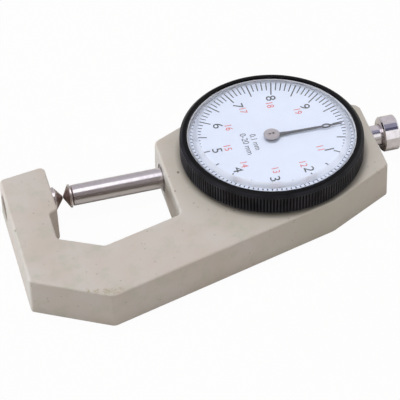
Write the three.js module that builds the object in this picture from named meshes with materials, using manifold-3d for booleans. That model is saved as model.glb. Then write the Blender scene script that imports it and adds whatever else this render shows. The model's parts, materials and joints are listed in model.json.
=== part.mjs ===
// Dial thickness gauge: a C-shaped cast frame holds a fixed anvil and a sprung spindle. A rack on the
// spindle turns a pinion on the pointer's arbor, ten millimetres of travel to one turn of the pointer.
// Sizes are in millimetres. The origin is the dial's axis at the back face, +X runs from the anvil to
// the pull knob and +Z comes out of the dial.
import * as THREE from 'three';
import { mergeVertices } from 'three/addons/utils/BufferGeometryUtils.js';
import Module from 'manifold-3d';

const wasm = await Module();
wasm.setup();

// Travel and gearing
const stroke = 20;
const dialTravel = 10;
const pinionTeeth = 16;
const pressureAngle = THREE.MathUtils.degToRad(20);
const backlash = 0.06;

// Clearances
const fitGap = 0.12;
const seatGap = 0.05;
const runGap = 0.06;
const airGap = 0.3;
const cutOverrun = 1;

// Frame casting
const frameDepth = 9.7;
const frameDraft = 0.15;
const frontEdgeRound = 0.6;
const backEdgeRound = 0.3;
const throatSpare = 3.65;
const armFoot = 25.85;
const armWidth = 9.2;
const armTipRise = 8.4;
const headWidth = 11.25;
const headRise = 10.2;
const headFoot = 4.75;
const headStep = 1.1;
const elbowReach = 46.45;
const elbowDrop = 35.35;
const bendReach = 9.1;
const bendDrop = 20.2;
const bodyRight = 24.85;
const bodyLeft = 25.85;
const rightCornerDrop = 11.75;
const rightShoulder = 9.95;
const leftShoulder = 11.05;
const backRise = 23.4;
const throatFoot = 14.05;
const throatElbowReach = 44.6;
const throatDepth = 19.1;
const shoulderRadius = 2.4;
const backRadius = 16;
const bendRadius = 3;
const elbowRadius = 2;
const armTipRadius = 1.4;
const sharpRadius = 1;
const throatRadius = 1.2;
const stepRadius = 0.9;

// Movement pocket in the casting
const pocketClearance = 0.83;
const pocketFloor = 2.2;
const castPillarRadius = 2.3;
const castPillarInset = 2.1;
const collarWall = 1.4;
const collarHeight = 1.9;
const tappedHoleDepth = 2.6;

// Spindle, tip, anvil and knob
const spindleRadius = 2.45;
const spindleOffset = 3.45;
const bushWall = 0.85;
const bushRecess = 0.1;
const anvilProud = 2.65;
const contactRadius = 2.77;
const contactRim = 0.4;
const contactCone = 1.45;
const contactNoseRadius = 0.9;
const anvilShankRadius = 2.08;
const anvilMouthRadius = 3.1;
const anvilMouthDepth = 2.4;
const anvilShankRecess = 1.9;
const tipNeck = 0.35;
const tipNeckRadius = 1.7;
const tipStudRadius = 1.1;
const tipStudLength = 3.4;
const knobStandoff = 3.05;
const knobRadius = 4.2;
const knobLength = 3.9;
const knobFrontChamfer = 0.35;
const knobFrontLand = 3.85;
const knobRearChamfer = 0.35;
const knobRecess = 0.5;
const knobStudRadius = 1.3;
const knobStudLength = 2.2;

// Guide pin, guide rail and return spring
const guidePinRadius = 0.8;
const guidePinShare = 0.35;
const guidePinTail = 0.8;
const railOffset = 0.85;
const railThickness = 0.9;
const railFlange = 3.6;
const railHeight = 5;
const railEnd = 1.3;
const springOffset = 3.5;
const springRadius = 1.05;
const springWire = 0.12;
const springCoils = 9;
const springHookLength = 0.7;
const springPostRadius = 0.7;
const springPostInset = 4.2;

// Movement plate, bridge and bearings
const plateThickness = 1.2;
const plateClearance = 0.75;
const plateGap = 0.3;
const bridgeThickness = 0.95;
const bridgeLift = 0.35;
const bridgeHalfSpan = 8;
const bridgeDrop = 6.5;
const bridgePadRadius = 2;
const bridgeTongueRadius = 1.6;
const pillarRadius = 1.6;
const pillarSpigotRadius = 0.8;
const bearingRadius = 1.2;
const arborRadius = 0.9;
const pivotRadius = 0.3;
const journalRadius = 0.5;
const pinionFace = 3.1;
const endShake = 0.12;

// Hairspring
const hairspringTurns = 5;
const hairspringPitch = 0.68;
const hairspringStrip = 0.14;
const hairspringHeight = 0.5;
const hairspringLift = 1.3;
const colletRadius = 1.2;
const colletHeight = 0.9;
const studRadius = 0.4;

// Bezel, dial and crystal
const bezelWall = 1.4;
const bezelLift = 0.3;
const bezelHeight = 5.6;
const knurlCount = 120;
const knurlDepth = 0.25;
const knurlFoot = 0.4;
const knurlHeight = 4.35;
const bezelLip = 1.7;
const dialLedgeWidth = 1.3;
const dialLedgeLift = 2.9;
const dialLedgeThickness = 0.6;
const dialClearance = 0.4;
const dialThickness = 0.55;
const dialHoleRadius = 1;
const gasketThickness = 0.22;
const gasketRecess = 0.2;
const crystalClearance = 0.35;
const crystalRise = 0.35;
const crystalThickness = 1.2;
const crystalRimRecess = 0.05;
const crystalRimWidth = 0.92;
const crystalBevel = 0.72;
const crystalWall = 0.35;
const crystalDomeInset = 2;
const crystalDomeRise = 0.4;
const snapRingLift = 1.05;
const snapRingThickness = 0.5;
const snapRingWidth = 0.8;
const snapRingOpening = THREE.MathUtils.degToRad(24);

// Pointer
const needleLift = 0.25;
const needleThickness = 0.25;
const needleClearance = 1.3;
const needleRootWidth = 1.1;
const needleWaistWidth = 0.62;
const needleTipWidth = 0.3;
const needleWaistReach = 4.6;
const needleEyeInset = 4.5;
const needleEyeLength = 1.7;
const needleEyeWidth = 1.15;
const needleEyeWall = 0.26;
const hubRadius = 1.45;
const hubLift = 0.2;
const hubHeight = 0.65;
const capRadius = 1.85;
const capThickness = 0.4;
const capChamfer = 0.15;
const capHoleRadius = 0.22;
const capHoleSpread = 0.36;
const capHoleDepth = 0.25;

// Back cover and screws
const coverInset = 1.6;
const coverThickness = 1.1;
const coverSeatWidth = 2.9;
const coverScrewInset = 1.6;
const screwShank = 0.6;
const screwHead = 1.25;
const screwHeadHeight = 0.55;
const screwSlotWidth = 0.35;
const screwSlotDepth = 0.25;
const screwBite = 1.9;

// Facets
const arcStep = THREE.MathUtils.degToRad(15);
const roundSegments = 40;
const knobSegments = 32;
const boreSegments = 24;
const smallSegments = 16;
const filletSteps = 3;
const noseSteps = 3;
const domeSteps = 3;
const stepsPerCoil = 8;
const stepsPerTurn = 14;
const wireSides = 5;
const screwSegments = 12;

// Worked-out places
const guidePinX = -guidePinShare * stroke;
const springAxisY = spindleOffset + spindleRadius + springOffset;
const guidePinEnd = springAxisY + springRadius + guidePinTail;
const pocketRadius = Math.hypot(guidePinX + stroke + guidePinRadius, guidePinEnd) + pocketClearance;
const castPillarReach = pocketRadius - castPillarInset;
const springPostReach = pocketRadius - springPostInset;
const coverRadius = pocketRadius - coverInset;
const coverOpening = coverRadius - coverSeatWidth;
const coverScrewReach = coverRadius - coverScrewInset;
const collarRadius = pocketRadius + collarWall;
const bezelRadius = collarRadius + bezelWall;
const bezelInner = bezelRadius - bezelLip;
const dialLedgeRadius = bezelInner - dialLedgeWidth;
const dialRadius = bezelInner - dialClearance;
const crystalRadius = bezelInner - crystalClearance;
const crystalRimRadius = crystalRadius - crystalRimWidth;
const crystalFlatRadius = crystalRimRadius - crystalBevel;
const crystalDomeRadius = crystalFlatRadius - crystalDomeInset;
const needleLength = dialRadius - needleClearance;
const needleEyeReach = needleLength - needleEyeInset;
const armReach = bodyLeft + stroke + throatSpare + anvilProud + headWidth;
const spindleHeight = frameDepth / 2;
const plateBottom = spindleHeight + spindleRadius + plateClearance;
const plateTop = plateBottom + plateThickness;
const bridgeBottom = coverThickness + bridgeLift;
const bridgeTop = bridgeBottom + bridgeThickness;
const snapRingHeight = frameDepth + snapRingLift;
const bezelBottom = frameDepth + bezelLift;
const bezelTop = bezelBottom + bezelHeight;
const knurlBottom = bezelBottom + knurlFoot;
const knurlTop = knurlBottom + knurlHeight;
const dialLedgeTop = bezelBottom + dialLedgeLift;
const dialTop = dialLedgeTop + seatGap + dialThickness;
const crystalTop = bezelTop + crystalRise;
const crystalRimTop = bezelTop - crystalRimRecess;
const hubBottom = dialTop + hubLift;
const hubTop = hubBottom + hubHeight;
const needleBottom = hubBottom + needleLift;
const needleTop = needleBottom + needleThickness;
const capTop = hubTop + capThickness;
const pinionPitchRadius = dialTravel / (2 * Math.PI);
const gearModule = 2 * pinionPitchRadius / pinionTeeth;
const dedendum = 1.25 * gearModule;
const contactX = -armReach + headWidth + anvilProud;
const knobX = bodyRight + knobStandoff;
const rodEndX = knobX + knobRecess - fitGap;
const rodStartX = contactX + contactCone + contactRim + tipNeck;
const railInner = spindleOffset + spindleRadius + railOffset;
const screwSunk = screwHeadHeight + seatGap;
const bushRadius = spindleRadius + bushWall;
const snapRingMiddle = collarRadius + airGap / 2;
const hairspringZ = plateTop + hairspringLift;
const hairspringInner = colletRadius + airGap;
const hairspringOuter = hairspringInner + hairspringTurns * hairspringPitch;
const hairspringEnd = hairspringOuter - studRadius - airGap;

const paint = new THREE.MeshStandardMaterial({ color: 0xc6bdb3, roughness: 0.62, metalness: 0 });
const steel = new THREE.MeshStandardMaterial({ color: 0xb9b9bc, roughness: 0.22, metalness: 1 });
const darkSteel = new THREE.MeshStandardMaterial({ color: 0x77706c, roughness: 0.3, metalness: 1 });
const chrome = new THREE.MeshStandardMaterial({ color: 0xd2d0d4, roughness: 0.12, metalness: 1 });
const brass = new THREE.MeshStandardMaterial({ color: 0xb99a55, roughness: 0.35, metalness: 1 });
const blackAnodised = new THREE.MeshStandardMaterial({ color: 0x1d1d20, roughness: 0.45, metalness: 0.3 });
const dialWhite = new THREE.MeshStandardMaterial({ color: 0xe4e9f5, roughness: 0.5, metalness: 0 });
const clearAcrylic = new THREE.MeshStandardMaterial({ color: 0xf4f6fa, roughness: 0.05, metalness: 0 });
const gasketTan = new THREE.MeshStandardMaterial({ color: 0xa89a80, roughness: 0.6, metalness: 0 });
const needleGrey = new THREE.MeshStandardMaterial({ color: 0x5b5e6c, roughness: 0.4, metalness: 0.4 });
const capGrey = new THREE.MeshStandardMaterial({ color: 0xa8a39b, roughness: 0.3, metalness: 0.9 });

// Closed surfaces and booleans

function solidOf(geometry) {
  const bare = new THREE.BufferGeometry();
  bare.setAttribute('position', geometry.getAttribute('position'));
  bare.setIndex(geometry.getIndex());
  const merged = mergeVertices(bare, 1e-5);
  const corners = merged.getAttribute('position').array;
  const faces = [];
  for (let i = 0; i < merged.getIndex().count; i += 3) {
    const [a, b, c] = [0, 1, 2].map((k) => merged.getIndex().getX(i + k));
    if (a !== b && b !== c && c !== a) faces.push(a, b, c);
  }
  return new wasm.Manifold(new wasm.Mesh({
    numProp: 3,
    vertProperties: new Float32Array(corners),
    triVerts: new Uint32Array(faces),
  }));
}

function geometryOf(solid) {
  const mesh = solid.getMesh();
  const geometry = new THREE.BufferGeometry();
  geometry.setAttribute('position', new THREE.BufferAttribute(mesh.vertProperties, 3));
  geometry.setIndex(new THREE.BufferAttribute(mesh.triVerts, 1));
  geometry.computeVertexNormals();
  return geometry;
}

function cut(base, ...tools) {
  return geometryOf(tools.reduce((solid, tool) => solid.subtract(solidOf(tool)), solidOf(base)));
}

function join(...pieces) {
  return geometryOf(pieces.map(solidOf).reduce((whole, piece) => whole.add(piece)));
}

// A solid of revolution about Z: the profile is [radius, height] pairs, counterclockwise from the axis.
function turned(profile, segments = roundSegments) {
  const points = profile.map(([radius, height]) => new THREE.Vector2(radius, height));
  const closes = profile[0][0] === 0 && profile.at(-1)[0] === 0;
  if (!closes) points.push(points[0].clone());
  return new THREE.LatheGeometry(points, segments).rotateX(Math.PI / 2);
}

// The same about the spindle's own axis, its heights measured along X.
function turnedOnSpindle(profile, segments = boreSegments) {
  return turned(profile, segments).rotateY(Math.PI / 2).translate(0, spindleOffset, spindleHeight);
}

function disc(radius, bottom, top, segments = roundSegments) {
  return turned([[0, bottom], [radius, bottom], [radius, top], [0, top]], segments);
}

function tube(inner, outer, bottom, top, segments = roundSegments) {
  return turned([[inner, bottom], [outer, bottom], [outer, top], [inner, top]], segments);
}

function discAt(x, y, radius, bottom, top, segments = smallSegments) {
  return disc(radius, bottom, top, segments).translate(x, y, 0);
}

// An outline from corners [x, y, radius], each corner rounded by an arc that touches both its sides.
function roundedOutline(corners) {
  const points = [];
  corners.forEach(([x, y, radius], i) => {
    const corner = new THREE.Vector2(x, y);
    const [px, py] = corners.at(i - 1);
    const [nx, ny] = corners[(i + 1) % corners.length];
    const inward = new THREE.Vector2(px, py).sub(corner).normalize();
    const outward = new THREE.Vector2(nx, ny).sub(corner).normalize();
    const half = Math.acos(THREE.MathUtils.clamp(inward.dot(outward), -1, 1)) / 2;
    const bisector = inward.clone().add(outward).normalize();
    const centre = corner.clone().addScaledVector(bisector, radius / Math.sin(half));
    const start = corner.clone().addScaledVector(inward, radius / Math.tan(half)).sub(centre);
    const end = corner.clone().addScaledVector(outward, radius / Math.tan(half)).sub(centre);
    const sweep = Math.atan2(start.cross(end), start.dot(end));
    const steps = Math.max(1, Math.round(Math.abs(sweep) / arcStep));
    for (let k = 0; k <= steps; k += 1) {
      points.push(start.clone().rotateAround(new THREE.Vector2(), sweep * k / steps).add(centre));
    }
  });
  return points;
}

// Moves each side of a counterclockwise outline inward by the same distance.
function insetOutline(points, distance) {
  return points.map((point, i) => {
    const before = point.clone().sub(points.at(i - 1)).normalize();
    const after = points[(i + 1) % points.length].clone().sub(point).normalize();
    const normal = new THREE.Vector2(-before.y - after.y, before.x + after.x).normalize();
    const side = new THREE.Vector2(-before.y, before.x);
    return point.clone().addScaledVector(normal, distance / normal.dot(side));
  });
}

// A block whose outline is inset by a different amount at each level [height, inset], bottom first.
function lofted(outline, levels) {
  const rings = levels.map(([height, inset]) => {
    return insetOutline(outline, inset).map(({ x, y }) => [x, y, height]);
  });
  const corners = rings.flat(2);
  const count = outline.length;
  const faces = [];
  for (let ring = 0; ring < levels.length - 1; ring += 1) {
    for (let i = 0; i < count; i += 1) {
      const a = ring * count + i;
      const b = ring * count + (i + 1) % count;
      faces.push(a, b, a + count, b, b + count, a + count);
    }
  }
  const topStart = (levels.length - 1) * count;
  for (const [a, b, c] of THREE.ShapeUtils.triangulateShape(outline, [])) {
    faces.push(topStart + a, topStart + b, topStart + c, c, b, a);
  }
  const geometry = new THREE.BufferGeometry();
  geometry.setAttribute('position', new THREE.Float32BufferAttribute(corners, 3));
  geometry.setIndex(faces);
  return geometry;
}

function slab(outline, bottom, top) {
  return lofted(outline, [[bottom, 0], [top, 0]]);
}

function box(x0, x1, y0, y1, z0, z1) {
  const geometry = new THREE.BoxGeometry(x1 - x0, y1 - y0, z1 - z0);
  return geometry.translate((x0 + x1) / 2, (y0 + y1) / 2, (z0 + z1) / 2);
}

function around(count, reach, startAngle) {
  return Array.from({ length: count }, (unused, i) => {
    const angle = startAngle + 2 * Math.PI * i / count;
    return [reach * Math.cos(angle), reach * Math.sin(angle)];
  });
}

// A slotted cheese-head screw, its head's underside at height zero and its head upwards.
function slottedScrew(shankLength) {
  const body = turned([
    [0, -shankLength],
    [screwShank, -shankLength],
    [screwShank, 0],
    [screwHead, 0],
    [screwHead, screwHeadHeight],
    [0, screwHeadHeight],
  ], screwSegments);
  const slotReach = screwHead + cutOverrun;
  const slotFloor = screwHeadHeight - screwSlotDepth;
  const slotTop = screwHeadHeight + cutOverrun;
  const slot = box(-slotReach, slotReach, -screwSlotWidth / 2, screwSlotWidth / 2, slotFloor, slotTop);
  return cut(body, slot);
}

// Frame

function frameOutline() {
  const armInner = -armReach + armWidth;
  const headInner = -armReach + headWidth;
  return roundedOutline([
    [-armReach, -armFoot, sharpRadius],
    [-elbowReach, -elbowDrop, elbowRadius],
    [bendReach, -bendDrop, bendRadius],
    [bodyRight, -rightCornerDrop, sharpRadius],
    [bodyRight, rightShoulder, shoulderRadius],
    [0, backRise, backRadius],
    [-bodyLeft, leftShoulder, shoulderRadius],
    [-bodyLeft, -throatFoot, throatRadius],
    [-throatElbowReach, -throatDepth, throatRadius],
    [armInner, -throatFoot, throatRadius],
    [armInner, -headFoot - headStep, stepRadius],
    [headInner, -headFoot, stepRadius],
    [headInner, headRise, armTipRadius],
    [-armReach, armTipRise, armTipRadius],
  ]);
}

function frameCasting() {
  const front = Array.from({ length: filletSteps + 1 }, (unused, i) => {
    const angle = Math.PI / 2 * i / filletSteps;
    const rise = frontEdgeRound * (1 - Math.sin(angle));
    return [frameDepth - rise, frameDraft + frontEdgeRound * (1 - Math.cos(angle))];
  });
  const block = lofted(frameOutline(), [[0, backEdgeRound], [backEdgeRound, 0], ...front]);
  const collarTop = frameDepth + collarHeight;
  const collar = tube(pocketRadius - cutOverrun, collarRadius, frameDepth - cutOverrun, collarTop);
  const pocket = disc(pocketRadius, pocketFloor, collarTop + cutOverrun);
  const pillars = around(3, castPillarReach, Math.PI / 2);
  const pillarTop = plateBottom - seatGap;
  const shell = cut(join(block, collar), pocket);
  const body = join(shell, ...pillars.map(([x, y]) => {
    return discAt(x, y, castPillarRadius, (coverThickness + pocketFloor) / 2, pillarTop);
  }));
  const snapGroove = tube(
    snapRingMiddle - snapRingWidth / 2 - fitGap,
    collarRadius + cutOverrun,
    snapRingHeight - snapRingThickness / 2 - fitGap,
    snapRingHeight + snapRingThickness / 2 + fitGap,
  );
  const coverSeat = disc(coverRadius + fitGap, -cutOverrun, coverThickness + seatGap);
  const opening = disc(coverOpening, -cutOverrun, pocketFloor + seatGap);
  const coverHoles = around(3, coverScrewReach, Math.PI / 2).map(([x, y]) => {
    return discAt(x, y, screwShank + fitGap, 0, coverThickness + tappedHoleDepth, screwSegments);
  });
  const plateHoles = pillars.map(([x, y]) => {
    return discAt(x, y, screwShank + fitGap, pillarTop - tappedHoleDepth, plateTop, screwSegments);
  });
  const boreReach = armReach + bodyRight;
  const spindleBore = turnedOnSpindle([
    [0, -bodyLeft - cutOverrun],
    [bushRadius + fitGap, -bodyLeft - cutOverrun],
    [bushRadius + fitGap, boreReach],
    [0, boreReach],
  ]);
  const anvilBore = turnedOnSpindle([
    [0, -boreReach],
    [anvilMouthRadius, -boreReach],
    [anvilMouthRadius, -armReach + anvilMouthDepth],
    [anvilShankRadius + fitGap, -armReach + anvilMouthDepth],
    [anvilShankRadius + fitGap, -armReach + headWidth + cutOverrun],
    [0, -armReach + headWidth + cutOverrun],
  ]);
  const footRadius = springPostRadius + fitGap;
  const postFoot = discAt(-springPostReach, springAxisY, footRadius, coverThickness, frameDepth);
  const holes = [...coverHoles, ...plateHoles, spindleBore, anvilBore, postFoot];
  return cut(body, snapGroove, coverSeat, opening, ...holes);
}

function spindleBush(start, end) {
  return turnedOnSpindle([
    [spindleRadius + runGap, start],
    [bushRadius, start],
    [bushRadius, end],
    [spindleRadius + runGap, end],
  ]);
}

function frontBush() {
  return spindleBush(-bodyLeft + frameDraft + bushRecess, -pocketRadius);
}

function rearBush() {
  return spindleBush(pocketRadius, bodyRight - frameDraft - bushRecess);
}

// The rounded nose of a contact, from its cone to the point where the two contacts meet at height zero.
// Heights are measured back from that point.
function contactNose() {
  const coneAngle = Math.atan2(contactCone, contactRadius);
  return Array.from({ length: noseSteps + 1 }, (unused, i) => {
    const angle = coneAngle * (1 - i / noseSteps);
    return [contactNoseRadius * Math.sin(angle), contactNoseRadius * (1 - Math.cos(angle))];
  });
}

function anvil() {
  const base = -armReach + headWidth + seatGap;
  const shankEnd = -armReach + anvilShankRecess;
  return turnedOnSpindle([
    [0, shankEnd],
    [anvilShankRadius, shankEnd],
    [anvilShankRadius, base],
    [contactRadius, base],
    [contactRadius, contactX - contactCone],
    ...contactNose().map(([radius, back]) => [radius, contactX - back]),
  ]);
}

// Spindle

// The metal milled from the rod's side: a flat with a row of tooth spaces in it.
function rackCutter() {
  const tipLine = pinionPitchRadius - gearModule;
  const rootLine = pinionPitchRadius + dedendum;
  const pitch = Math.PI * gearModule;
  const clearance = pinionPitchRadius + gearModule + airGap;
  const start = -stroke - clearance;
  const end = clearance;
  const halfSpace = (pitch + backlash) / 4 + backlash / 4;
  const halfAtTip = halfSpace + gearModule * Math.tan(pressureAngle);
  const halfAtRoot = halfSpace - dedendum * Math.tan(pressureAngle);
  const outline = [new THREE.Vector2(start, -spindleRadius), new THREE.Vector2(end, -spindleRadius)];
  outline.push(new THREE.Vector2(end, tipLine));
  const first = Math.floor((end - halfAtTip) / pitch);
  const last = Math.ceil((start + halfAtTip) / pitch);
  for (let tooth = first; tooth >= last; tooth -= 1) {
    const middle = tooth * pitch;
    outline.push(new THREE.Vector2(middle + halfAtTip, tipLine));
    outline.push(new THREE.Vector2(middle + halfAtRoot, rootLine));
    outline.push(new THREE.Vector2(middle - halfAtRoot, rootLine));
    outline.push(new THREE.Vector2(middle - halfAtTip, tipLine));
  }
  outline.push(new THREE.Vector2(start, tipLine));
  const halfWidth = spindleRadius + cutOverrun;
  return slab(outline, spindleHeight - halfWidth, spindleHeight + halfWidth);
}

function spindleRod() {
  const shoulder = rodEndX + knobStudLength;
  const rod = turnedOnSpindle([
    [0, rodStartX],
    [spindleRadius, rodStartX],
    [spindleRadius, rodEndX],
    [knobStudRadius, rodEndX],
    [knobStudRadius, shoulder],
    [0, shoulder],
  ]);
  const tipHole = turnedOnSpindle([
    [0, rodStartX - cutOverrun],
    [tipStudRadius + fitGap, rodStartX - cutOverrun],
    [tipStudRadius + fitGap, rodStartX + tipStudLength + fitGap],
    [0, rodStartX + tipStudLength + fitGap],
  ], smallSegments);
  const pinHole = alongY(guidePinRadius + fitGap, spindleOffset, spindleOffset + spindleRadius + cutOverrun);
  return cut(rod, tipHole, pinHole, rackCutter());
}

function contactTip() {
  const rimStart = contactX + seatGap + contactCone;
  const rimEnd = rimStart + contactRim;
  return turnedOnSpindle([
    ...contactNose().reverse().map(([radius, back]) => [radius, contactX + seatGap + back]),
    [contactRadius, rimStart],
    [contactRadius, rimEnd],
    [tipNeckRadius, rimEnd],
    [tipNeckRadius, rodStartX - seatGap],
    [tipStudRadius, rodStartX - seatGap],
    [tipStudRadius, rodStartX + tipStudLength],
    [0, rodStartX + tipStudLength],
  ]);
}

function guidePin() {
  return alongY(guidePinRadius, spindleOffset + fitGap, guidePinEnd);
}

// A rod across the spindle at the guide pin's place, between two distances from the dial's axis.
function alongY(radius, start, end) {
  return disc(radius, start, end, smallSegments).rotateX(-Math.PI / 2).translate(guidePinX, 0, spindleHeight);
}

function pullKnob() {
  const chamferEnd = knobX + knobFrontChamfer;
  const end = knobX + knobLength;
  return turnedOnSpindle([
    [knobStudRadius + fitGap, knobX + knobRecess],
    [spindleRadius + fitGap, knobX + knobRecess],
    [spindleRadius + fitGap, knobX],
    [knobFrontLand, knobX],
    [knobRadius, chamferEnd],
    [knobRadius, end - knobRearChamfer],
    [knobRadius - knobRearChamfer, end],
    [0, end],
    [0, rodEndX + knobStudLength + fitGap],
    [knobStudRadius + fitGap, rodEndX + knobStudLength + fitGap],
  ], knobSegments);
}

// Guide rail and return spring

function guideRail() {
  const slotStart = guidePinX - guidePinRadius - airGap;
  const slotEnd = guidePinX + stroke + guidePinRadius + airGap;
  const start = slotStart - railEnd;
  const end = slotEnd + railEnd;
  const top = plateBottom - seatGap;
  const web = box(start, end, railInner, railInner + railThickness, top - railHeight, top);
  const flangeBottom = top - railThickness;
  const flange = box(start, end, railInner, railInner + railFlange, flangeBottom, top);
  const slotHalf = guidePinRadius + fitGap;
  const slotTop = spindleHeight + slotHalf;
  const slotBottom = spindleHeight - slotHalf;
  const slotDepth = railInner + railThickness + fitGap;
  const slot = box(slotStart, slotEnd, railInner - cutOverrun, slotDepth, slotBottom, slotTop);
  const corner = pocketCorner();
  const holes = railScrewPlaces().map(([x, y]) => {
    return discAt(x, y, screwShank + fitGap, flangeBottom - cutOverrun, plateTop, screwSegments);
  });
  return cut(join(web, flange), slot, corner, ...holes);
}

// What lies outside the pocket's round wall, so that a piece that reaches it follows its curve.
function pocketCorner() {
  return tube(pocketRadius - airGap, 2 * pocketRadius, 0, plateTop);
}

function railScrewPlaces() {
  const reach = railInner + railFlange - screwHead;
  return [guidePinX, guidePinX + stroke - railEnd].map((x) => [x, reach]);
}

class SpringPath extends THREE.Curve {
  constructor(start, end) {
    super();
    this.start = start;
    this.end = end;
  }

  getPoint(share, target = new THREE.Vector3()) {
    const length = this.end - this.start;
    const along = share * length;
    const hookShare = springHookLength / length;
    const ramp = Math.min(share, 1 - share) / hookShare;
    const radius = springRadius * THREE.MathUtils.smoothstep(ramp, 0, 1);
    const angle = 2 * Math.PI * springCoils * share;
    const y = springAxisY + radius * Math.cos(angle);
    return target.set(this.start + along, y, spindleHeight + radius * Math.sin(angle));
  }
}

function returnSpring() {
  const start = -springPostReach + springPostRadius + seatGap;
  const end = guidePinX - guidePinRadius - seatGap;
  const wire = new THREE.Shape(around(wireSides, springWire, 0).map(([x, y]) => new THREE.Vector2(x, y)));
  return new THREE.ExtrudeGeometry(wire, {
    steps: springCoils * stepsPerCoil,
    bevelEnabled: false,
    extrudePath: new SpringPath(start, end),
  });
}

function springPost() {
  const bottom = coverThickness + seatGap + seatGap;
  const top = spindleHeight + springRadius + springPostRadius;
  return discAt(-springPostReach, springAxisY, springPostRadius, bottom, top);
}

// Movement plate, bridge and pillars

function movementPlate() {
  const plate = disc(pocketRadius - plateGap, plateBottom, plateTop);
  const shankHoles = [...around(3, castPillarReach, Math.PI / 2), ...railScrewPlaces()].map(([x, y]) => {
    return discAt(x, y, screwShank + fitGap, 0, plateTop + cutOverrun, screwSegments);
  });
  const bearingHole = disc(bearingRadius + fitGap, 0, plateTop + cutOverrun, smallSegments);
  const studHole = discAt(hairspringOuter, 0, studRadius + fitGap, 0, plateTop + cutOverrun, screwSegments);
  const spigotHoles = bridgePlaces().map(([x, y]) => {
    return discAt(x, y, pillarSpigotRadius + fitGap, 0, plateTop + cutOverrun, screwSegments);
  });
  return cut(plate, bearingHole, studHole, ...spigotHoles, ...shankHoles);
}

function plateScrewLength() {
  return plateThickness + screwBite;
}

function lowerBridge() {
  const padRise = -bridgeDrop + bridgePadRadius;
  const outline = roundedOutline([
    [-bridgeHalfSpan - bridgePadRadius, -bridgeDrop - bridgePadRadius, bridgePadRadius / 2],
    [bridgeHalfSpan + bridgePadRadius, -bridgeDrop - bridgePadRadius, bridgePadRadius / 2],
    [bridgeHalfSpan + bridgePadRadius, padRise, bridgePadRadius / 2],
    [bridgeTongueRadius, padRise, bridgeTongueRadius / 2],
    [bridgeTongueRadius, bridgeTongueRadius, bridgeTongueRadius / 2],
    [-bridgeTongueRadius, bridgeTongueRadius, bridgeTongueRadius / 2],
    [-bridgeTongueRadius, padRise, bridgeTongueRadius / 2],
    [-bridgeHalfSpan - bridgePadRadius, padRise, bridgePadRadius / 2],
  ]);
  const strip = slab(outline, bridgeBottom, bridgeTop);
  const bearingHole = disc(bearingRadius + fitGap, 0, plateTop + cutOverrun, smallSegments);
  const screwHoles = bridgePlaces().flatMap(([x, y]) => [
    discAt(x, y, screwShank + fitGap, 0, plateTop + cutOverrun, screwSegments),
    discAt(x, y, screwHead + fitGap, 0, bridgeBottom + screwSunk + seatGap, screwSegments),
  ]);
  return cut(strip, bearingHole, ...screwHoles);
}

function bridgePlaces() {
  return [[-bridgeHalfSpan, -bridgeDrop], [bridgeHalfSpan, -bridgeDrop]];
}

function bridgePillar([x, y]) {
  const bottom = bridgeTop + seatGap;
  const shoulder = plateBottom - seatGap;
  const pillar = turned([
    [0, bottom],
    [pillarRadius, bottom],
    [pillarRadius, shoulder],
    [pillarSpigotRadius, shoulder],
    [pillarSpigotRadius, plateTop],
    [0, plateTop],
  ], smallSegments).translate(x, y, 0);
  return cut(pillar, discAt(x, y, screwShank + fitGap, 0, bottom + screwBite, screwSegments));
}

function pivotBearing(bottom, top, hole) {
  return tube(hole, bearingRadius, bottom, top, smallSegments);
}

// Pointer arbor with its pinion

function pinionOutline() {
  const tip = pinionPitchRadius + gearModule;
  const root = pinionPitchRadius - dedendum;
  const base = pinionPitchRadius * Math.cos(pressureAngle);
  const halfTooth = (Math.PI * gearModule - 2 * backlash) / 4 / pinionPitchRadius;
  const involute = (angle) => Math.tan(angle) - angle;
  const halfAngle = (radius) => {
    const angle = Math.acos(Math.min(1, base / Math.max(radius, base)));
    return halfTooth + involute(pressureAngle) - involute(angle);
  };
  const flank = [root, base, pinionPitchRadius, tip];
  const points = [];
  for (let tooth = 0; tooth < pinionTeeth; tooth += 1) {
    const middle = Math.PI / 2 + 2 * Math.PI * tooth / pinionTeeth;
    const rising = flank.map((radius) => [radius, middle - halfAngle(radius)]);
    const falling = flank.map((radius) => [radius, middle + halfAngle(radius)]).reverse();
    for (const [radius, angle] of [...rising, ...falling]) {
      points.push(new THREE.Vector2(radius * Math.cos(angle), radius * Math.sin(angle)));
    }
  }
  return points;
}

function pinionArbor() {
  const shoulder = bridgeTop + endShake;
  const upperShoulder = plateBottom - endShake;
  const arbor = turned([
    [0, bridgeBottom + endShake],
    [pivotRadius, bridgeBottom + endShake],
    [pivotRadius, shoulder],
    [arborRadius, shoulder],
    [arborRadius, upperShoulder],
    [journalRadius, upperShoulder],
    [journalRadius, hubTop],
    [0, hubTop],
  ], smallSegments);
  const halfFace = pinionFace / 2;
  return join(arbor, slab(pinionOutline(), spindleHeight - halfFace, spindleHeight + halfFace));
}

function hairspring() {
  const steps = hairspringTurns * stepsPerTurn;
  const side = (shift) => Array.from({ length: steps + 1 }, (unused, i) => {
    const share = i / steps;
    const angle = 2 * Math.PI * hairspringTurns * share;
    const radius = hairspringInner + (hairspringEnd - hairspringInner) * share + shift;
    return new THREE.Vector2(radius * Math.cos(angle), radius * Math.sin(angle));
  });
  const outline = [...side(hairspringStrip / 2), ...side(-hairspringStrip / 2).reverse()];
  return slab(outline, hairspringZ, hairspringZ + hairspringHeight);
}

function hairspringCollet() {
  const bottom = hairspringZ + (hairspringHeight - colletHeight) / 2;
  return tube(journalRadius + runGap, colletRadius, bottom, bottom + colletHeight, smallSegments);
}

function hairspringStud() {
  const top = hairspringZ + hairspringHeight + seatGap;
  return discAt(hairspringOuter, 0, studRadius, plateBottom + seatGap, top, screwSegments);
}

// Pointer

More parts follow.
